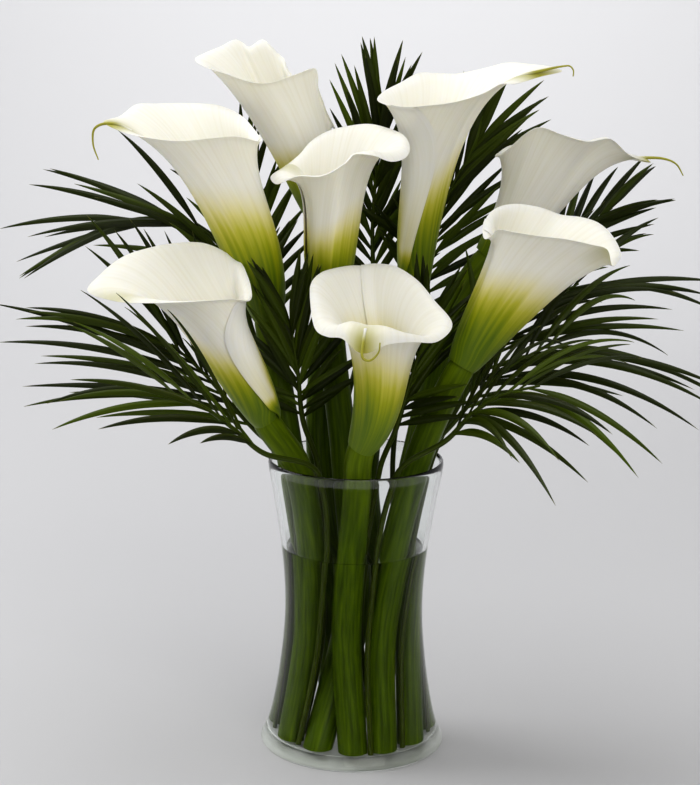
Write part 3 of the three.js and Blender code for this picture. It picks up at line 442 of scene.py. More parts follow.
class Bloom:
    """A bloom's directions, and the closed curves through its rim stations."""

    def __init__(self, throat, lean, rim, seam, lap, swell, green, stem,
                 mouth_lap=4, hug=1.5, white_edge=0, tail=None):
        lean, side = (math.radians(angle) for angle in lean)
        self.throat = np.array(throat, float)
        self.axis = np.array((math.sin(lean) * math.cos(side), math.sin(lean) * math.sin(side),
                              math.cos(lean)))
        rim = np.array([(*station, 0)[:5] for station in rim], float)
        self.rim = rim[:, :3] + self.throat
        self.count = len(rim)
        self.middle = self.rim.mean(axis=0)
        self.rise = unit(self.middle - self.throat)
        across = unit(np.cross(AWAY, self.rise))
        spokes = self.rim - self.middle
        azimuth = np.unwrap(np.arctan2(spokes @ np.cross(self.rise, across), spokes @ across))
        self.turn = 2 * math.pi * np.sign(azimuth[-1] - azimuth[0])
        ahead = azimuth - self.turn * np.arange(self.count) / self.count
        self.traits = np.stack((np.radians(rim[:, 3]), rim[:, 4], ahead), -1)
        self.throat_across = unit(np.cross(AWAY, self.axis))
        self.throat_depth = np.cross(self.axis, self.throat_across)
        self.seam, self.lap, self.mouth_lap, self.hug, self.swell = seam, lap, mouth_lap, hug, swell
        self.stem = [polar(place) for place in stem]
        self.tail, self.green, self.white_edge = tail, green, white_edge

    def sheet(self, across, up):
        """Where the sheet lies, before its lapped layers are set apart."""
        lap_degrees = self.mouth_lap + (self.lap - self.mouth_lap) * np.sin(math.pi * up ** LAP_PEAK)
        lap = lap_degrees / 360 * self.count * ease(up, *LAP_OPENS)
        turns = (self.seam + self.count / 2 + across * (self.count / 2 + lap)) / self.count
        traits = closed_curve(self.traits, turns)
        flare, curl, ahead = (traits[..., i:i + 1] for i in range(3))
        phi = self.turn * column(turns) + ahead
        full = closed_curve(self.rim, turns)
        soft = (closed_curve(self.rim, turns - RUFFLE_REACH) / 4 + full / 2
                + closed_curve(self.rim, turns + RUFFLE_REACH) / 4)
        spoke = np.cos(phi) * self.throat_across + np.sin(phi) * self.throat_depth
        start = self.throat + STEM_RADIUS * spoke
        reach = soft - self.middle
        out = unit(reach - dot(reach, self.rise) * self.rise)
        chord = np.sqrt(dot(soft - start, soft - start))
        lower = start + LOW_HANDLE * chord * (self.axis + self.swell * spoke)
        upper = soft - HIGH_HANDLE * chord * (np.cos(flare) * self.rise + np.sin(flare) * out)
        k = column(up)
        placed = bezier(start, lower, upper, soft, k) + (full - soft) * k ** RUFFLE_FADE
        lip = np.maximum((k - LIP_START) / (1 - LIP_START), 0)
        return (placed + CURL_BULGE * curl * (1 - (1 - lip) ** 2) * lip * out
                - curl * lip ** CURL_SHARPNESS * self.rise)

    def station(self, across, up):
        """The sheet's points with its lapped layers set apart, and its outward normals."""
        along_across = (self.sheet(np.minimum(across + NEAR, 1), up)
                        - self.sheet(np.maximum(across - NEAR, -1), up))
        along_up = (self.sheet(across, np.minimum(up + NEAR, 1))
                    - self.sheet(across, np.maximum(up - NEAR, 0)))
        normal = unit(np.cross(along_across, along_up)) * np.sign(self.turn)
        level = (1 - column(ease(up, 0, THROAT_FLAT))) * dot(normal, self.axis)
        normal = unit(normal - level * self.axis)
        return self.sheet(across, up) + self.hug * column(across) * normal, normal

    def tip(self):
        """Where on the sheet's width the tip's rim station lies."""
        middle = self.seam + self.count / 2
        across = math.fmod(-middle, self.count) / (self.count / 2 + self.mouth_lap / 360 * self.count)
        return across + 2 if across < -1 else across

    def stem_path(self, tuck=-SEAT):
        """The stem's path; tuck is how far it runs into the spathe."""
        end = self.throat + tuck * self.axis
        return Path([*self.stem, end], self.axis)

    def tail_path(self):
        across = np.full(len(TAIL_ROOTS), self.tip())
        roots, _ = self.station(across, np.array(TAIL_ROOTS))
        return Path([*roots, *(np.array(self.tail) + self.throat)])


class Frond:
    """A frond's stalk and rib, and the draws that place its leaflets."""

    def __init__(self, number, name, pairs, more, reach, droop, bare, spread, face, stalk, rib):
        self.name, self.pairs, self.more, self.reach = name, pairs, more, reach
        self.droop, self.bare, self.spread = droop, bare, spread
        self.face = unit(np.array(face, float))
        self.path = Path([*(polar(place) for place in stalk), *rib])
        self.rib_start = self.path.lengths[len(stalk) * STATIONS_PER_SPAN]
        self.rib_length = self.path.length - self.rib_start
        self.draw = drawer(SEED + SEED_STEP * number)
        self.leaflets = []

    def radius(self, share):
        rib_share = (share * self.path.length - self.rib_start) / self.rib_length
        return STALK_RADIUS + (RIB_END_RADIUS - STALK_RADIUS) * np.maximum(rib_share, 0)

    def off(self, width):
        return width * (next(self.draw) - 0.5)

    def grow(self, pairs, blocks, filling=False):
        """Grows pairs of leaflets, clear of the blocks of other pieces, and blocks their room.

        Those that fill the frond out start from the rib's foot, open wider and lie closer to others.
        """
        bare, wider, clearance = self.bare, 0, CLEARANCE
        if filling:
            bare, wider, clearance = 0, FILLER_OPENS, FILLER_CLEARANCE
        grown = []
        for i in range(pairs):
            for side in (-1, 1):
                place = (i + 0.5 + STAGGER * side + self.off(JITTER["place"])) / pairs
                leaflet = self.leaflet(place, side, bare, wider * (1 - place), clearance, blocks)
                if leaflet:
                    grown.append(leaflet)
        self.leaflets += grown
        blocks.extend((self.name, leaflet["samples"], LEAFLET_THICKNESS) for leaflet in grown)

    def leaflet(self, place, side, bare, wider, clearance, blocks):
        """A leaflet at a place on one side of the rib, bent clear, or none where nothing is clear."""
        share = bare + (1 - bare) * place
        root, direction = self.path.at(self.rib_start + share * self.rib_length)
        face = unit(self.face - dot(self.face, direction) * direction)
        outward = np.cross(face, direction) * side
        spread = self.spread[0] + (self.spread[1] - self.spread[0]) * place
        angle = spread + wider + self.off(JITTER["angle"])
        lift = LIFT + self.off(JITTER["lift"])
        arc = math.sin(math.pi * (LENGTH_ARC[0] + (LENGTH_ARC[1] - LENGTH_ARC[0]) * place))
        full = self.reach * (SHORTEST + (1 - SHORTEST) * arc) * (1 + self.off(JITTER["length"]))
        droop = self.droop * (1 + self.off(JITTER["droop"]))
        for sideways, upward, size in LEAFLET_BENDS:
            opened, raised = math.radians(angle + sideways), math.radians(lift + upward)
            flat = math.cos(opened) * direction + math.sin(opened) * outward
            heading = math.cos(raised) * flat + math.sin(raised) * face
            leaflet = dict(root=root, heading=heading, face=face, length=full * size, droop=droop)
            samples = leaflet_points(leaflet, np.linspace(LEAFLET_START, 1, LEAFLET_SAMPLES))
            if is_clear(self.name, samples, clearance, blocks):
                return dict(leaflet, samples=samples)
        return None


def leaflet_points(leaflet, share):
    """Points at shares of a leaflet's length: straight out, sinking under its weight."""
    k = column(share)
    return leaflet["root"] + leaflet["length"] * (k * leaflet["heading"] - leaflet["droop"] * k ** 2 * UP)


def is_clear(owner, samples, clearance, blocks):
    """True where a leaflet stays in the model's box, out of the vase and off the pieces of others."""
    if (samples < BOX_LOW - BOX_EASE).any() or (samples > BOX_HIGH + BOX_EASE).any():
        return False
    inside = (samples[:, 2] < VASE_TOP) & (np.hypot(samples[:, 0], samples[:, 1]) < VASE_REACH)
    if inside.any():
        return False
    for other, points, radius in blocks:
        if other == owner:
            continue
        nearest = np.linalg.norm(points[:, None] - samples[None], axis=2).min()
        if nearest <= radius + clearance:
            return False
    return True


def room_taken(blooms, fronds):
    """What leaflets keep clear of: the owner's name, its points and their radius."""
    blocks = []
    columns, rows = SHEET_SAMPLES
    across, up = np.meshgrid(np.linspace(-1, 1, columns), np.linspace(0, 1, rows), indexing="ij")
    for bloom in blooms:
        points, _ = bloom.station(across.ravel(), up.ravel())
        blocks.append(("bloom", points, SHEET_THICKNESS))
        blocks.append(("bloom", bloom.stem_path().points, STEM_RADIUS))
    for frond in fronds:
        blocks.append((frond.name, frond.path.points, STALK_RADIUS))
    return blocks


def select(piece):
    """Makes a piece the only one selected, and the active one."""
    if bpy.context.mode != "OBJECT":
        bpy.ops.object.mode_set(mode="OBJECT")
    bpy.ops.object.select_all(action="DESELECT")
    piece.select_set(True)
    bpy.context.view_layer.objects.active = piece


def corners(piece):
    flat = np.empty(len(piece.data.vertices) * 3, np.float32)
    piece.data.vertices.foreach_get("co", flat)
    return flat.reshape(-1, 3).astype(float)


def move_corners(piece, points):
    """Puts a mesh's corners at points, in mm."""
    piece.data.vertices.foreach_set("co", (points * MM).astype(np.float32).ravel())
    piece.data.update()


def grid(name, size, place):
    """A sheet of columns and rows; place(x, y) puts its corners, with x and y from 0 to 1 as in its UVs."""
    columns, rows = size
    bpy.ops.object.select_all(action="DESELECT")
    bpy.ops.mesh.primitive_grid_add(x_subdivisions=columns, y_subdivisions=rows, size=1, calc_uvs=True)
    piece = bpy.context.object
    piece.name = name
    flat = corners(piece)[:, :2] + 0.5
    move_corners(piece, place(flat[:, 0], flat[:, 1]))
    return piece, flat


def close(piece, caps=True):
    """Welds a rolled sheet's seam, caps its open ends and turns its faces outward."""
    select(piece)
    bpy.ops.object.mode_set(mode="EDIT")
    bpy.ops.mesh.select_all(action="SELECT")
    bpy.ops.mesh.remove_doubles(threshold=SAME_CORNER)
    if caps:
        bpy.ops.mesh.fill_holes(sides=0)
    bpy.ops.mesh.normals_make_consistent(inside=False)
    bpy.ops.object.mode_set(mode="OBJECT")


def mark(piece, name, values):
    """Keeps a number for each corner of a mesh, for its material to read."""
    attribute = piece.data.attributes.new(name, "FLOAT", "POINT")
    attribute.data.foreach_set("value", np.asarray(values, np.float32))


def thicken(piece, wall, thin=None, thinnest=1):
    """Gives a sheet a wall; where the numbers in thin fall from 1 to 0, it thins to its thinnest share."""
    select(piece)
    solidify = piece.modifiers.new("wall", "SOLIDIFY")
    solidify.thickness = wall * MM
    solidify.offset = 0
    if thin is not None:
        group = piece.vertex_groups.new(name="wall")
        for i, weight in enumerate(thin):
            group.add([i], float(weight), "REPLACE")
        solidify.vertex_group = group.name
        solidify.thickness_vertex_group = thinnest
    bpy.ops.object.modifier_apply(modifier=solidify.name)
    piece.vertex_groups.clear()


def smooth(piece, angle=60):
    """Shades a piece smooth, but for edges sharper than an angle in degrees."""
    select(piece)
    bpy.ops.object.shade_smooth_by_angle(angle=math.radians(angle))


def join(pieces, name):
    select(pieces[0])
    for piece in pieces[1:]:
        piece.select_set(True)
    bpy.ops.object.join()
    pieces[0].name = name
    return pieces[0]


def rod(name, size, path, radius, level=None, **marks):
    """A closed round body along a path: radius(x, y) with x round it and y along it, and marks of y."""
    piece, flat = grid(name, size, lambda x, y: rings(path, y, x, radius(x, y), level))
    for kept, value in marks.items():
        mark(piece, kept, np.broadcast_to(value(flat[:, 1]), len(flat)))
    close(piece)
    return piece


def softened(profile, rounds=3):
    """A profile with its corners rounded, its two ends kept."""
    line = np.array(profile, float)
    for _ in range(rounds):
        cut = np.empty((2 * len(line) - 2, 2))
        cut[0::2] = 0.75 * line[:-1] + 0.25 * line[1:]
        cut[1::2] = 0.25 * line[:-1] + 0.75 * line[1:]
        line = np.concatenate((line[:1], cut, line[-1:]))
    return line


def turned(name, profile, facets):
    """A body turned round the vase's axis: a disc drawn up along a profile of (radius, height)."""
    bpy.ops.object.select_all(action="DESELECT")
    bpy.ops.mesh.primitive_circle_add(vertices=facets, radius=profile[1][0] * MM, fill_type="TRIFAN",
                                      enter_editmode=True)
    piece = bpy.context.object
    piece.name = name
    bpy.ops.transform.translate(value=(0, 0, profile[1][1] * MM))
    for (radius, height), (next_radius, next_height) in zip(profile[1:], profile[2:-1]):
        bpy.ops.mesh.extrude_region_move(
            TRANSFORM_OT_translate={"value": (0, 0, (next_height - height) * MM)})
        widening = next_radius / radius
        bpy.ops.transform.resize(value=(widening, widening, 1), center_override=(0, 0, 0))
    bpy.ops.mesh.select_all(action="SELECT")
    bpy.ops.mesh.normals_make_consistent(inside=False)
    bpy.ops.object.mode_set(mode="OBJECT")
    smooth(piece, VASE_CREASE)
    return piece


def make_vase():
    return turned("glass_vase", softened(VASE_OUTSIDE + VASE_INSIDE), VASE_FACETS)


def make_water():
    """Water that wets the glass, with a raised edge."""
    inside = softened(VASE_INSIDE)[::-1]
    wet = inside[inside[:, 1] < WATER_LEVEL]
    wall = np.interp(WATER_LEVEL, inside[:, 1], inside[:, 0])
    sides = [(radius + WATER_WETTING if radius else 0, height - WATER_WETTING) for radius, height in wet]
    slope = [(wall + WATER_WETTING, WATER_LEVEL + MENISCUS)]
    slope += [(wall - MENISCUS_REACH * share, WATER_LEVEL + MENISCUS * (1 - share) ** 3)
              for share in np.linspace(0, 1, MENISCUS_STEPS)]
    profile = np.array([*sides, *slope, (wall / 2, WATER_LEVEL), (0, WATER_LEVEL)])
    return turned("vase_water", profile, VASE_FACETS)


def is_wetted(centre, normal):
    """True for the glass's faces that look into the water."""
    if abs(normal[2]) < ALONG_AXIS:
        faces_water = centre[0] * normal[0] + centre[1] * normal[1] < 0
    else:
        faces_water = centre[2] > VASE_FLOOR - 1
    return faces_water and centre[2] < WATER_LEVEL


def is_wall(centre, _):
    """True for the glass between its foot and its lip."""
    return FOOT_TOP < centre[2] < LIP_FOOT


def is_underside(centre, normal):
    """True for the underside of the glass."""
    return normal[2] < -ALONG_AXIS and centre[2] < VASE_FLOOR / 2


def is_against_glass(centre, normal):
    """True for the water's faces that press on the glass."""
    return centre[2] < WATER_LEVEL - WATER_EDGE or normal[2] < WATER_FACES_UP


def finish_faces(piece, finish, is_chosen):
    """Gives the faces that is_chosen picks, by centre in mm and normal, a finish of their own."""
    piece.data.materials.append(finish.material)
    for face in piece.data.polygons:
        if is_chosen([part / MM for part in face.center], face.normal):
            face.material_index = len(piece.data.materials) - 1


def make_stem(bloom, number):
    """A round stem, a little uneven, with its foot cut level and its head tucked into the spathe."""
    path = bloom.stem_path(STEM_TUCK)
    throat = path.length - STEM_TUCK
    before, after = NECK_SPAN

    def radius(x, y):
        uneven = sum(height * np.sin(2 * math.pi * waves * x + STEM_WAVE_SHIFT * number)
                     for waves, height in STEM_WAVES)
        return STEM_RADIUS + uneven - STEM_NECKS_IN * ease(y * path.length, throat + before, throat + after)
    piece = rod(f"stem_{number}", STEM_GRID, path, radius, FOOT, height=lambda y: y)
    smooth(piece)
    return piece


def make_spathe(bloom, number):
    """One rolled sheet, thin at its edges, and its tail where it has one."""
    def place(x, y):
        points, normals = bloom.station(2 * x - 1, y)
        closing = LAP_CLOSES * ease(y, LAP_CLOSES_FROM, 1) * bloom.hug * (2 * x - 1)
        roll = np.clip((y - LIP_ROLL_START) / (1 - LIP_ROLL_START), 0, 1)
        return (points + column(LIP_ROLL * roll ** 2 - closing) * normals
                - column(LIP_ROLL / 2 * roll ** 3) * bloom.rise)
    piece, flat = grid(f"spathe_{number}", SPATHE_GRID, place)
    across, up = 2 * flat[:, 0] - 1, flat[:, 1]
    from_tip = np.abs((across - bloom.tip() + 1) % 2 - 1)
    green = 1 - ease(up, *(bloom.green * share for share in GREEN_FADES))
    white = bloom.white_edge * ease(across * np.sign(bloom.hug), *WHITE_FROM) * ease(up, *WHITE_ABOVE)
    mark(piece, "green", green * (1 - white))
    tip = np.exp(-(from_tip / TIP_WIDTH) ** 2) * ease(up, TIP_FROM, 1)
    mark(piece, "tip", tip * (1 if bloom.tail else TIP_WITHOUT_TAIL))
    edge = np.minimum((1 - np.abs(across)) * SIDE_THINS, (1 - up) * RIM_THINS)
    thin = np.clip(np.minimum(edge, up * FOOT_THINS), 0, 1)
    thicken(piece, SPATHE_WALL, thin, SPATHE_THINNEST)
    if bloom.tail:
        piece = join([piece, make_tail(bloom)], piece.name)
    smooth(piece, BLOOM_CREASE)
    return piece


def make_tail(bloom):
    """The thin tail that the tip runs out into."""
    return rod("tail", TAIL_GRID, bloom.tail_path(), lambda _, y: TAIL_RADIUS * (1 - TAIL_TAPER * y),
               green=lambda _: 0, tip=lambda y: ease(y, 0, TAIL_GREENS_BY))


def make_spadix(bloom, number):
    """A rod with a rounded end, set all over with small round florets."""
    turn = bloom.throat + SPADIX_LENGTH / 2 * bloom.axis
    end = turn + SPADIX_LENGTH / 2 * bloom.rise
    path = Path([bloom.throat, turn, end + SPADIX_TIP * bloom.rise], bloom.rise)

    def radius(x, y):
        share = np.clip(y * (SPADIX_LENGTH + SPADIX_TIP) / SPADIX_LENGTH, 0, 1)
        tapered = SPADIX_RADIUS * (1 - SPADIX_TAPER * share ** 2)
        rounded = np.sqrt(np.clip((1 - y) * SPADIX_BLUNT, 0, 1))
        round_it, along_it = FLORETS[0] * x, FLORETS[1] * y
        florets = FLORET_HEIGHT * np.abs(np.sin(math.pi * (round_it + along_it))
                                         * np.sin(math.pi * (round_it - along_it)))
        return np.maximum((tapered - FLORET_SINKS + florets) * rounded, SPADIX_END_RADIUS)
    piece = rod(f"spadix_{number}", SPADIX_GRID, path, radius)
    smooth(piece, BLOOM_CREASE)
    return piece


def leaflet_width(y):
    """A leaflet's width along its length: a narrow foot, full at a third, a long point."""
    foot = LEAFLET_FOOT + (1 - LEAFLET_FOOT) * ease(y, LEAFLET_FOOT_START, LEAFLET_WIDEST)
    return foot * (1 - np.clip((y - LEAFLET_WIDEST) / (1 - LEAFLET_WIDEST), 0, 1) ** LEAFLET_POINTS)


def shape_leaflet(pattern, flat, leaflet, shade):
    """A copy of the pattern laid along a leaflet and folded to a keel."""
    piece = pattern.copy()
    piece.data = pattern.data.copy()
    bpy.context.collection.objects.link(piece)
    across, y = 2 * flat[:, 0] - 1, flat[:, 1]
    point = leaflet_points(leaflet, y)
    run = unit(leaflet_points(leaflet, y + NEAR) - leaflet_points(leaflet, y - NEAR))
    side = unit(np.cross(leaflet["face"], run))
    rise = np.cross(run, side)
    wide = leaflet_width(y)
    keel = LEAFLET_RIDGE * np.sqrt(wide) * (1 - np.abs(across) ** RIDGE_SHARPNESS)
    move_corners(piece, point + column(across * wide * LEAFLET_WIDTH / 2) * side + column(keel) * rise)
    mark(piece, "shade", np.full(len(y), shade))
    mark(piece, "along", y)
    return piece


def make_frond(frond, pattern, pattern_flat):
    """A stalk and rib with its leaflets, fused in one piece."""
    shades = drawer(SEED * len(frond.leaflets))
    leaves = join([shape_leaflet(pattern, pattern_flat, leaflet, next(shades))
                   for leaflet in frond.leaflets], "leaflets")
    close(leaves, caps=False)
    thicken(leaves, LEAFLET_WALL)
    rib = rod("rib", RIB_GRID, frond.path, lambda _, y: frond.radius(y), FOOT,
              shade=lambda _: RIB_SHADE, along=lambda _: RIB_ALONG)
    piece = join([leaves, rib], f"frond_{frond.name}")
    smooth(piece, FROND_CREASE)
    return piece


def leaflet_pattern():
    """The flat leaflet that every leaflet is a copy of."""
    return grid("leaflet_pattern", LEAFLET_GRID, lambda x, y: np.stack((x, y, 0 * x), -1))


def colour(hex_value):
    """An sRGB hex colour as Blender's linear colour."""
    parts = [int(hex_value[i:i + 2], 16) / 255 for i in (1, 3, 5)]
    return (*(p / 12.92 if p <= 0.04045 else ((p + 0.055) / 1.055) ** 2.4 for p in parts), 1)


class Finish:
    """A material: its Principled shader, set to constants, and the nodes that feed it."""

    def __init__(self, name, **settings):
        self.material = bpy.data.materials.new(name)
        self.material.use_nodes = True
        self.nodes, self.links = self.material.node_tree.nodes, self.material.node_tree.links
        self.shader = self.nodes["Principled BSDF"]
        for socket, value in settings.items():
            self.shader.inputs[socket.replace("_", " ")].default_value = value

    def feed(self, **sockets):
        for name, value in sockets.items():
            self.links.new(value, self.shader.inputs[name.replace("_", " ")])

    def add(self, kind, output, inputs=(), **settings):
        """Adds a node and gives one of its outputs; inputs are values or the sockets that feed them."""
        made = self.nodes.new("ShaderNode" + kind)
        for name, value in settings.items():
            setattr(made, name, value)
        for socket, value in dict(inputs).items():
            if isinstance(value, bpy.types.NodeSocket):
                self.links.new(value, made.inputs[socket])
            else:
                made.inputs[socket].default_value = value
        return made.outputs[output]

    def marked(self, name):
        """The numbers that a mesh's corners keep under a name."""
        return self.add("Attribute", "Fac", attribute_name=name)

    def between(self, value, low, high):
        """A value from 0 to 1, brought to between low and high."""
        return self.add("MapRange", "Result", {"Value": value, "To Min": low, "To Max": high})

    def beyond(self, value, start):
        """0 until a value reaches its start, and from there up to 1."""
        return self.add("MapRange", "Result", {"Value": value, "From Min": start, "From Max": 1.0})

    def ramp(self, share, stops):
        """The colour at a share, through stops of a place and a hex colour."""
        shade = self.add("ValToRGB", "Color", {"Fac": share})
        elements = shade.node.color_ramp.elements
        while len(elements) < len(stops):
            elements.new(1)
        for element, (place, hex_value) in zip(elements, stops):
            element.position = place
            element.color = colour(hex_value)
        return shade

    def blend(self, share, under, over, blend_type="MIX"):
        """A colour with a share of another over it."""
        return self.add("Mix", MIXED_COLOUR, {MIX_SHARE: share, MIX_FROM: under, MIX_TO: over},
                        data_type="RGBA", blend_type=blend_type)

    def streaks(self, across, along):
        """Noise drawn out along the UV map: so many streaks across and so many lengths along."""
        uv = self.add("UVMap", "UV", uv_map="UVMap")
        drawn_out = self.add("Mapping", "Vector", {"Vector": uv, "Scale": (across, along, 1)})
        return self.add("TexNoise", "Fac", {"Vector": drawn_out, "Scale": 1.0, "Detail": 3.0})

    def grain(self, size_mm, detail=2.0):
        """Even noise in the object's own space, with features of a size in mm."""
        place = self.add("TexCoord", "Object")
        return self.add("TexNoise", "Fac", {"Vector": place, "Scale": 1 / (size_mm * MM), "Detail": detail})

    def bump(self, height, depth_mm, strength):
        """Lets the surface rise and fall with a height."""
        self.feed(Normal=self.add("Bump", "Normal", {"Height": height, "Distance": depth_mm * MM,
                                                     "Strength": strength}))

    def let_light_through(self):
        """Lets the lamps' light straight in to what stands behind clear glass or water."""
        lamp_ray = self.add("LightPath", "Is Shadow Ray")
        opening = self.add("BsdfTransparent", "BSDF")
        seen = self.add("MixShader", "Shader", {0: lamp_ray, 1: self.shader.outputs["BSDF"], 2: opening})
        self.links.new(seen, self.nodes["Material Output"].inputs["Surface"])


def clear_finish(name, tint, ior, **settings):
    """A clear, smooth finish that the lamps shine through."""
    finish = Finish(name, Base_Color=colour(tint), Roughness=0.0, IOR=ior, Transmission_Weight=1.0,
                    **settings)
    finish.let_light_through()
    return finish


def pressed_glass():
    """Soda-lime glass, pressed and fire-polished: quite clear, with bright glints on its lip and foot."""
    return clear_finish("pressed soda-lime glass", GLASS_TINT, GLASS_IOR)


def polished_wall():
    """The same glass in the wall: slow waves left by the mould, and it mirrors little face on."""
    finish = clear_finish("polished soda-lime glass", GLASS_TINT, GLASS_IOR, Specular_Tint=colour(CALM))
    finish.bump(finish.grain(40), 0.05, 0.04)
    return finish


def painted_caustic_glass():
    """The same glass underneath, made matt and milky. Its pale colour is painted light, standing in for the
    light that water and glass focus onto the foot.
    """
    finish = Finish("milky soda-lime glass, painted caustic light", Base_Color=colour("#E4E8E4"), IOR=GLASS_IOR,
                    Transmission_Weight=0.6)
    finish.feed(Roughness=finish.between(finish.grain(1.5), 0.5, 0.75))
    finish.let_light_through()
    return finish


def wetted_glass():
    """The same glass where water wets it: it bends light less and hardly shines."""
    return clear_finish("wetted soda-lime glass", "#FFFFFF", GLASS_IOR / WATER_IOR,
                        Specular_Tint=colour(CALM))


def still_water():
    """Still water, its open face: clear and mirror-smooth."""
    return clear_finish("still water", "#FBFDFA", WATER_IOR, Specular_Tint=colour(CALM))


def water_against_glass():
    """Water where it wets the glass: the glass bends the light there, so the water's face can't be seen."""
    return clear_finish("water against glass", "#FFFFFF", 1.0)


def calla_stem():
    """A fleshy green stem: smooth satin skin with faint lengthwise streaks, fresher towards the bloom."""
    finish = Finish("calla stem", Roughness=0.4, Specular_IOR_Level=0.12, Subsurface_Weight=0.1,
                    Subsurface_Radius=(0.6, 1.0, 0.1), Subsurface_Scale=0.002)
    # 26 streaks in the stem's 66 mm girth are 2.5 mm wide each, drawn out over about 45 mm
    streak = finish.streaks(26, 7)
    skin = finish.ramp(streak, [(0.3, "#304000"), (0.5, "#425600"), (0.72, "#576C02")])
    fresh = finish.ramp(streak, [(0.3, "#4D5F02"), (0.7, "#697D06")])
    near_bloom = finish.beyond(finish.marked("height"), 0.72)
    finish.feed(Base_Color=finish.blend(near_bloom, skin, fresh))
    finish.bump(streak, 0.2, 0.25)
    return finish


def calla_spathe():
    """A waxy cream-white spathe: faint lengthwise veins, a green foot that runs up in streaks."""
    finish = Finish("calla spathe", Roughness=0.46, Specular_IOR_Level=0.3, Subsurface_Weight=0.4,
                    Subsurface_Radius=(1.0, 0.9, 0.6), Subsurface_Scale=0.0015, Sheen_Weight=0.05)
    # Veins 3 mm apart at the mouth, where the sheet is some 350 mm wide, running its whole height
    vein = finish.streaks(110, 1.0)
    petal = finish.ramp(vein, [(0.3, "#EFECE0"), (0.5, "#F3F1E7"), (0.7, "#F6F4EC")])
    # The green runs up in streaks 2 mm wide at the foot, whose girth is 66 mm
    green = finish.marked("green")
    streak = finish.between(finish.streaks(34, 0.7), -0.55, 0.55)
    streaky = finish.add("Math", "Value", {0: streak, 1: green, 2: green}, operation="MULTIPLY_ADD",
                         use_clamp=True)
    foot = finish.ramp(streaky, [(0.0, "#FFFFFF"), (0.12, "#F9F5D8"), (0.26, "#E9E49A"), (0.42, "#CCCA4C"),
                                 (0.6, "#A8AF12"), (0.8, "#859704"), (1.0, "#647D03")])
    body = finish.blend(1.0, petal, foot, "MULTIPLY")
    finish.feed(Base_Color=finish.blend(finish.marked("tip"), body, colour("#A3A03A")))
    finish.bump(vein, 0.15, 0.12)
    return finish


def calla_spadix():
    """A spadix covered in pollen: matt, golden, darker between its florets."""
    finish = Finish("pollen-covered spadix", Roughness=0.85, Subsurface_Weight=0.1, Subsurface_Scale=0.002)
    dust = finish.grain(0.9, 4.0)
    finish.feed(Base_Color=finish.ramp(dust, [(0.3, "#C88A10"), (0.5, "#E5AE24"), (0.7, "#F3CC55")]))
    finish.bump(dust, 0.2, 0.6)
    return finish


def palm_leaf():
    """A leathery palm leaf: deep green with fine lengthwise ribs and a soft gloss, dry at its point."""
    finish = Finish("palm leaf", Roughness=0.38, Specular_IOR_Level=0.2, Subsurface_Weight=0.05,
                    Subsurface_Radius=(0.5, 1.0, 0.1), Subsurface_Scale=0.001)
    # Ribs 0.4 mm apart across a leaflet 6 mm wide
    rib = finish.streaks(14, 1.5)
    tone = finish.add("Mix", "Result", {"Factor": 0.5, "A": rib, "B": finish.marked("shade")})
    leaf = finish.ramp(tone, [(0.15, "#141A00"), (0.5, "#2F3A00"), (0.85, "#50620A")])
    point = finish.beyond(finish.marked("along"), 0.95)
    finish.feed(Base_Color=finish.blend(point, leaf, colour("#6B6A26")))
    finish.bump(rib, 0.2, 0.4)
    return finish


def matt_card():
    """The floor and wall: matt pale card in one sweep."""
    finish = Finish("matt pale card", Base_Color=colour("#CACACC"), Roughness=0.9)
    finish.bump(finish.grain(2), 0.05, 0.2)
    return finish


def dress(piece, finish, node):
    """Gives a piece its finish, hangs it on the root body and hides the model's node it stands for."""
    piece.data.materials.clear()
    piece.data.materials.append(finish.material)
    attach(piece, "root")
    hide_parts(node)


def build_object():
    blooms = [Bloom(**record) for record in BLOOMS]
    fronds = [Frond(number, **record) for number, record in enumerate(FRONDS)]
    blocks = room_taken(blooms, fronds)
    for frond in fronds:
        frond.grow(frond.pairs, blocks)
    for frond in fronds:
        frond.grow(frond.more, blocks, filling=True)

    vase, water = make_vase(), make_water()
    dress(vase, pressed_glass(), "vase")
    finish_faces(vase, polished_wall(), is_wall)
    # The underside's pale, milky finish is painted light: it stands in for light focused onto the foot
    finish_faces(vase, painted_caustic_glass(), is_underside)
    finish_faces(vase, wetted_glass(), is_wetted)
    dress(water, still_water(), "water")
    finish_faces(water, water_against_glass(), is_against_glass)
    stem, spathe, spadix, leaf = calla_stem(), calla_spathe(), calla_spadix(), palm_leaf()
    for number, bloom in enumerate(blooms, 1):
        dress(make_stem(bloom, number), stem, f"calla_{number}_stem")
        dress(make_spathe(bloom, number), spathe, f"calla_{number}_spathe")
        dress(make_spadix(bloom, number), spadix, f"calla_{number}_spadix")
    pattern, flat = leaflet_pattern()
    for frond in fronds:
        dress(make_frond(frond, pattern, flat), leaf, f"palm_{frond.name}")
    bpy.data.objects.remove(pattern)


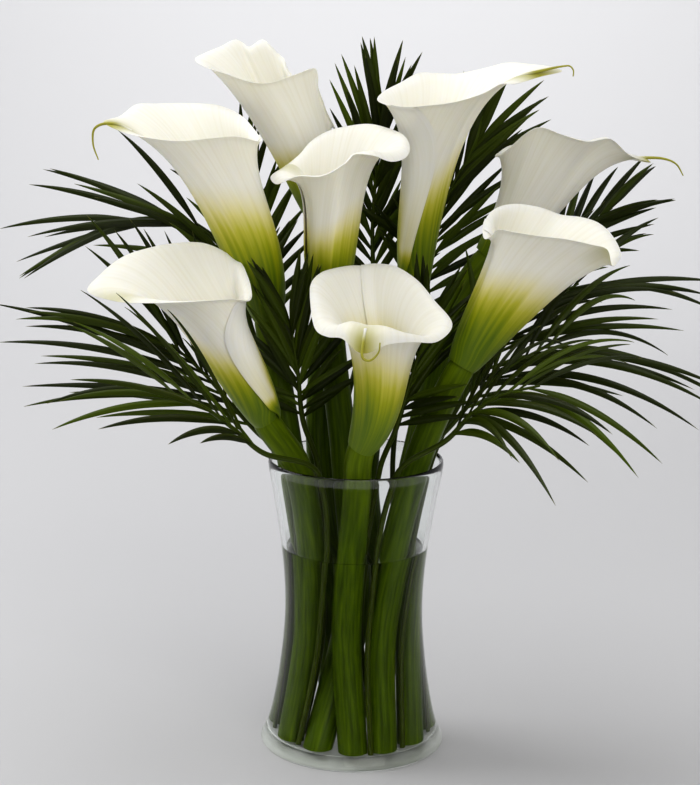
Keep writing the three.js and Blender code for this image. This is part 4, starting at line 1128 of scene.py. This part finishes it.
def build_floor():
    """A round floor that sweeps up into a wall all the way round."""
    def place(x, y):
        run = y * (FLOOR_REACH + FLOOR_RISE)
        level_run = np.minimum(run, FLOOR_REACH - FLOOR_BEND)
        turn = np.clip((run - level_run) / FLOOR_BEND, 0, math.pi / 2)
        radius = level_run + FLOOR_BEND * np.sin(turn)
        height = (FLOOR_BEND * (1 - np.cos(turn))
                  + np.maximum(run - level_run - FLOOR_BEND * math.pi / 2, 0))
        round_it = 2 * math.pi * x
        return np.stack((radius * np.cos(round_it), radius * np.sin(round_it), height), -1)
    floor, _ = grid("floor", FLOOR_GRID, place)
    floor.data.materials.append(matt_card().material)
    close(floor, caps=False)
    smooth(floor)


def add_light(name, place, aim, size, power, tint):
    """A square soft light at a place, facing a point; places in mm, size in metres."""
    bpy.ops.object.light_add(type="AREA", location=np.array(place) * MM)
    light = bpy.context.object
    light.name = name
    light.data.size = size
    light.data.energy = power
    light.data.color = colour(tint)[:3]
    toward = np.array(aim, float) - np.array(place, float)
    tip = math.atan2(math.hypot(toward[0], toward[1]), -toward[2])
    light.rotation_euler = (tip, 0, math.atan2(toward[1], toward[0]) - math.pi / 2)


def build_studio():
    """A window behind on the left, a soft light above, a wide weak fill in front and one on the wall."""
    add_light("window", (-1500, 500, 1300), (0, 0, 300), 1.2, 12, "#FFFFFF")
    add_light("ceiling", (-200, 100, 1900), (0, 0, 0), 1.4, 11, "#FFFFFF")
    add_light("front_fill", (700, -2200, 1500), (0, 0, 250), 2.4, 22, "#FFFDF8")
    add_light("wall", (0, 2300, 1800), (0, 3300, 200), 1.8, 22, "#FFFFFF")
    world = bpy.data.worlds.new("studio")
    bpy.context.scene.world = world
    world.use_nodes = True
    background = world.node_tree.nodes["Background"]
    background.inputs["Color"].default_value = colour("#F2F2F2")
    background.inputs["Strength"].default_value = SKY_STRENGTH
    bpy.context.scene.view_settings.view_transform = "Standard"
    bpy.context.scene.view_settings.look = "Medium High Contrast"


def place_camera():
    bpy.ops.object.camera_add(location=np.array(CAMERA_PLACE) * MM)
    camera = bpy.context.object
    camera.rotation_mode = "ZYX"
    camera.rotation_euler = (math.radians(90 - CAMERA_TIP), 0, math.radians(CAMERA_LEAN))
    camera.data.lens = LENS
    camera.data.clip_start = CAMERA_NEAR
    bpy.context.scene.camera = camera


place_camera()
build_object()
build_floor()
build_studio()
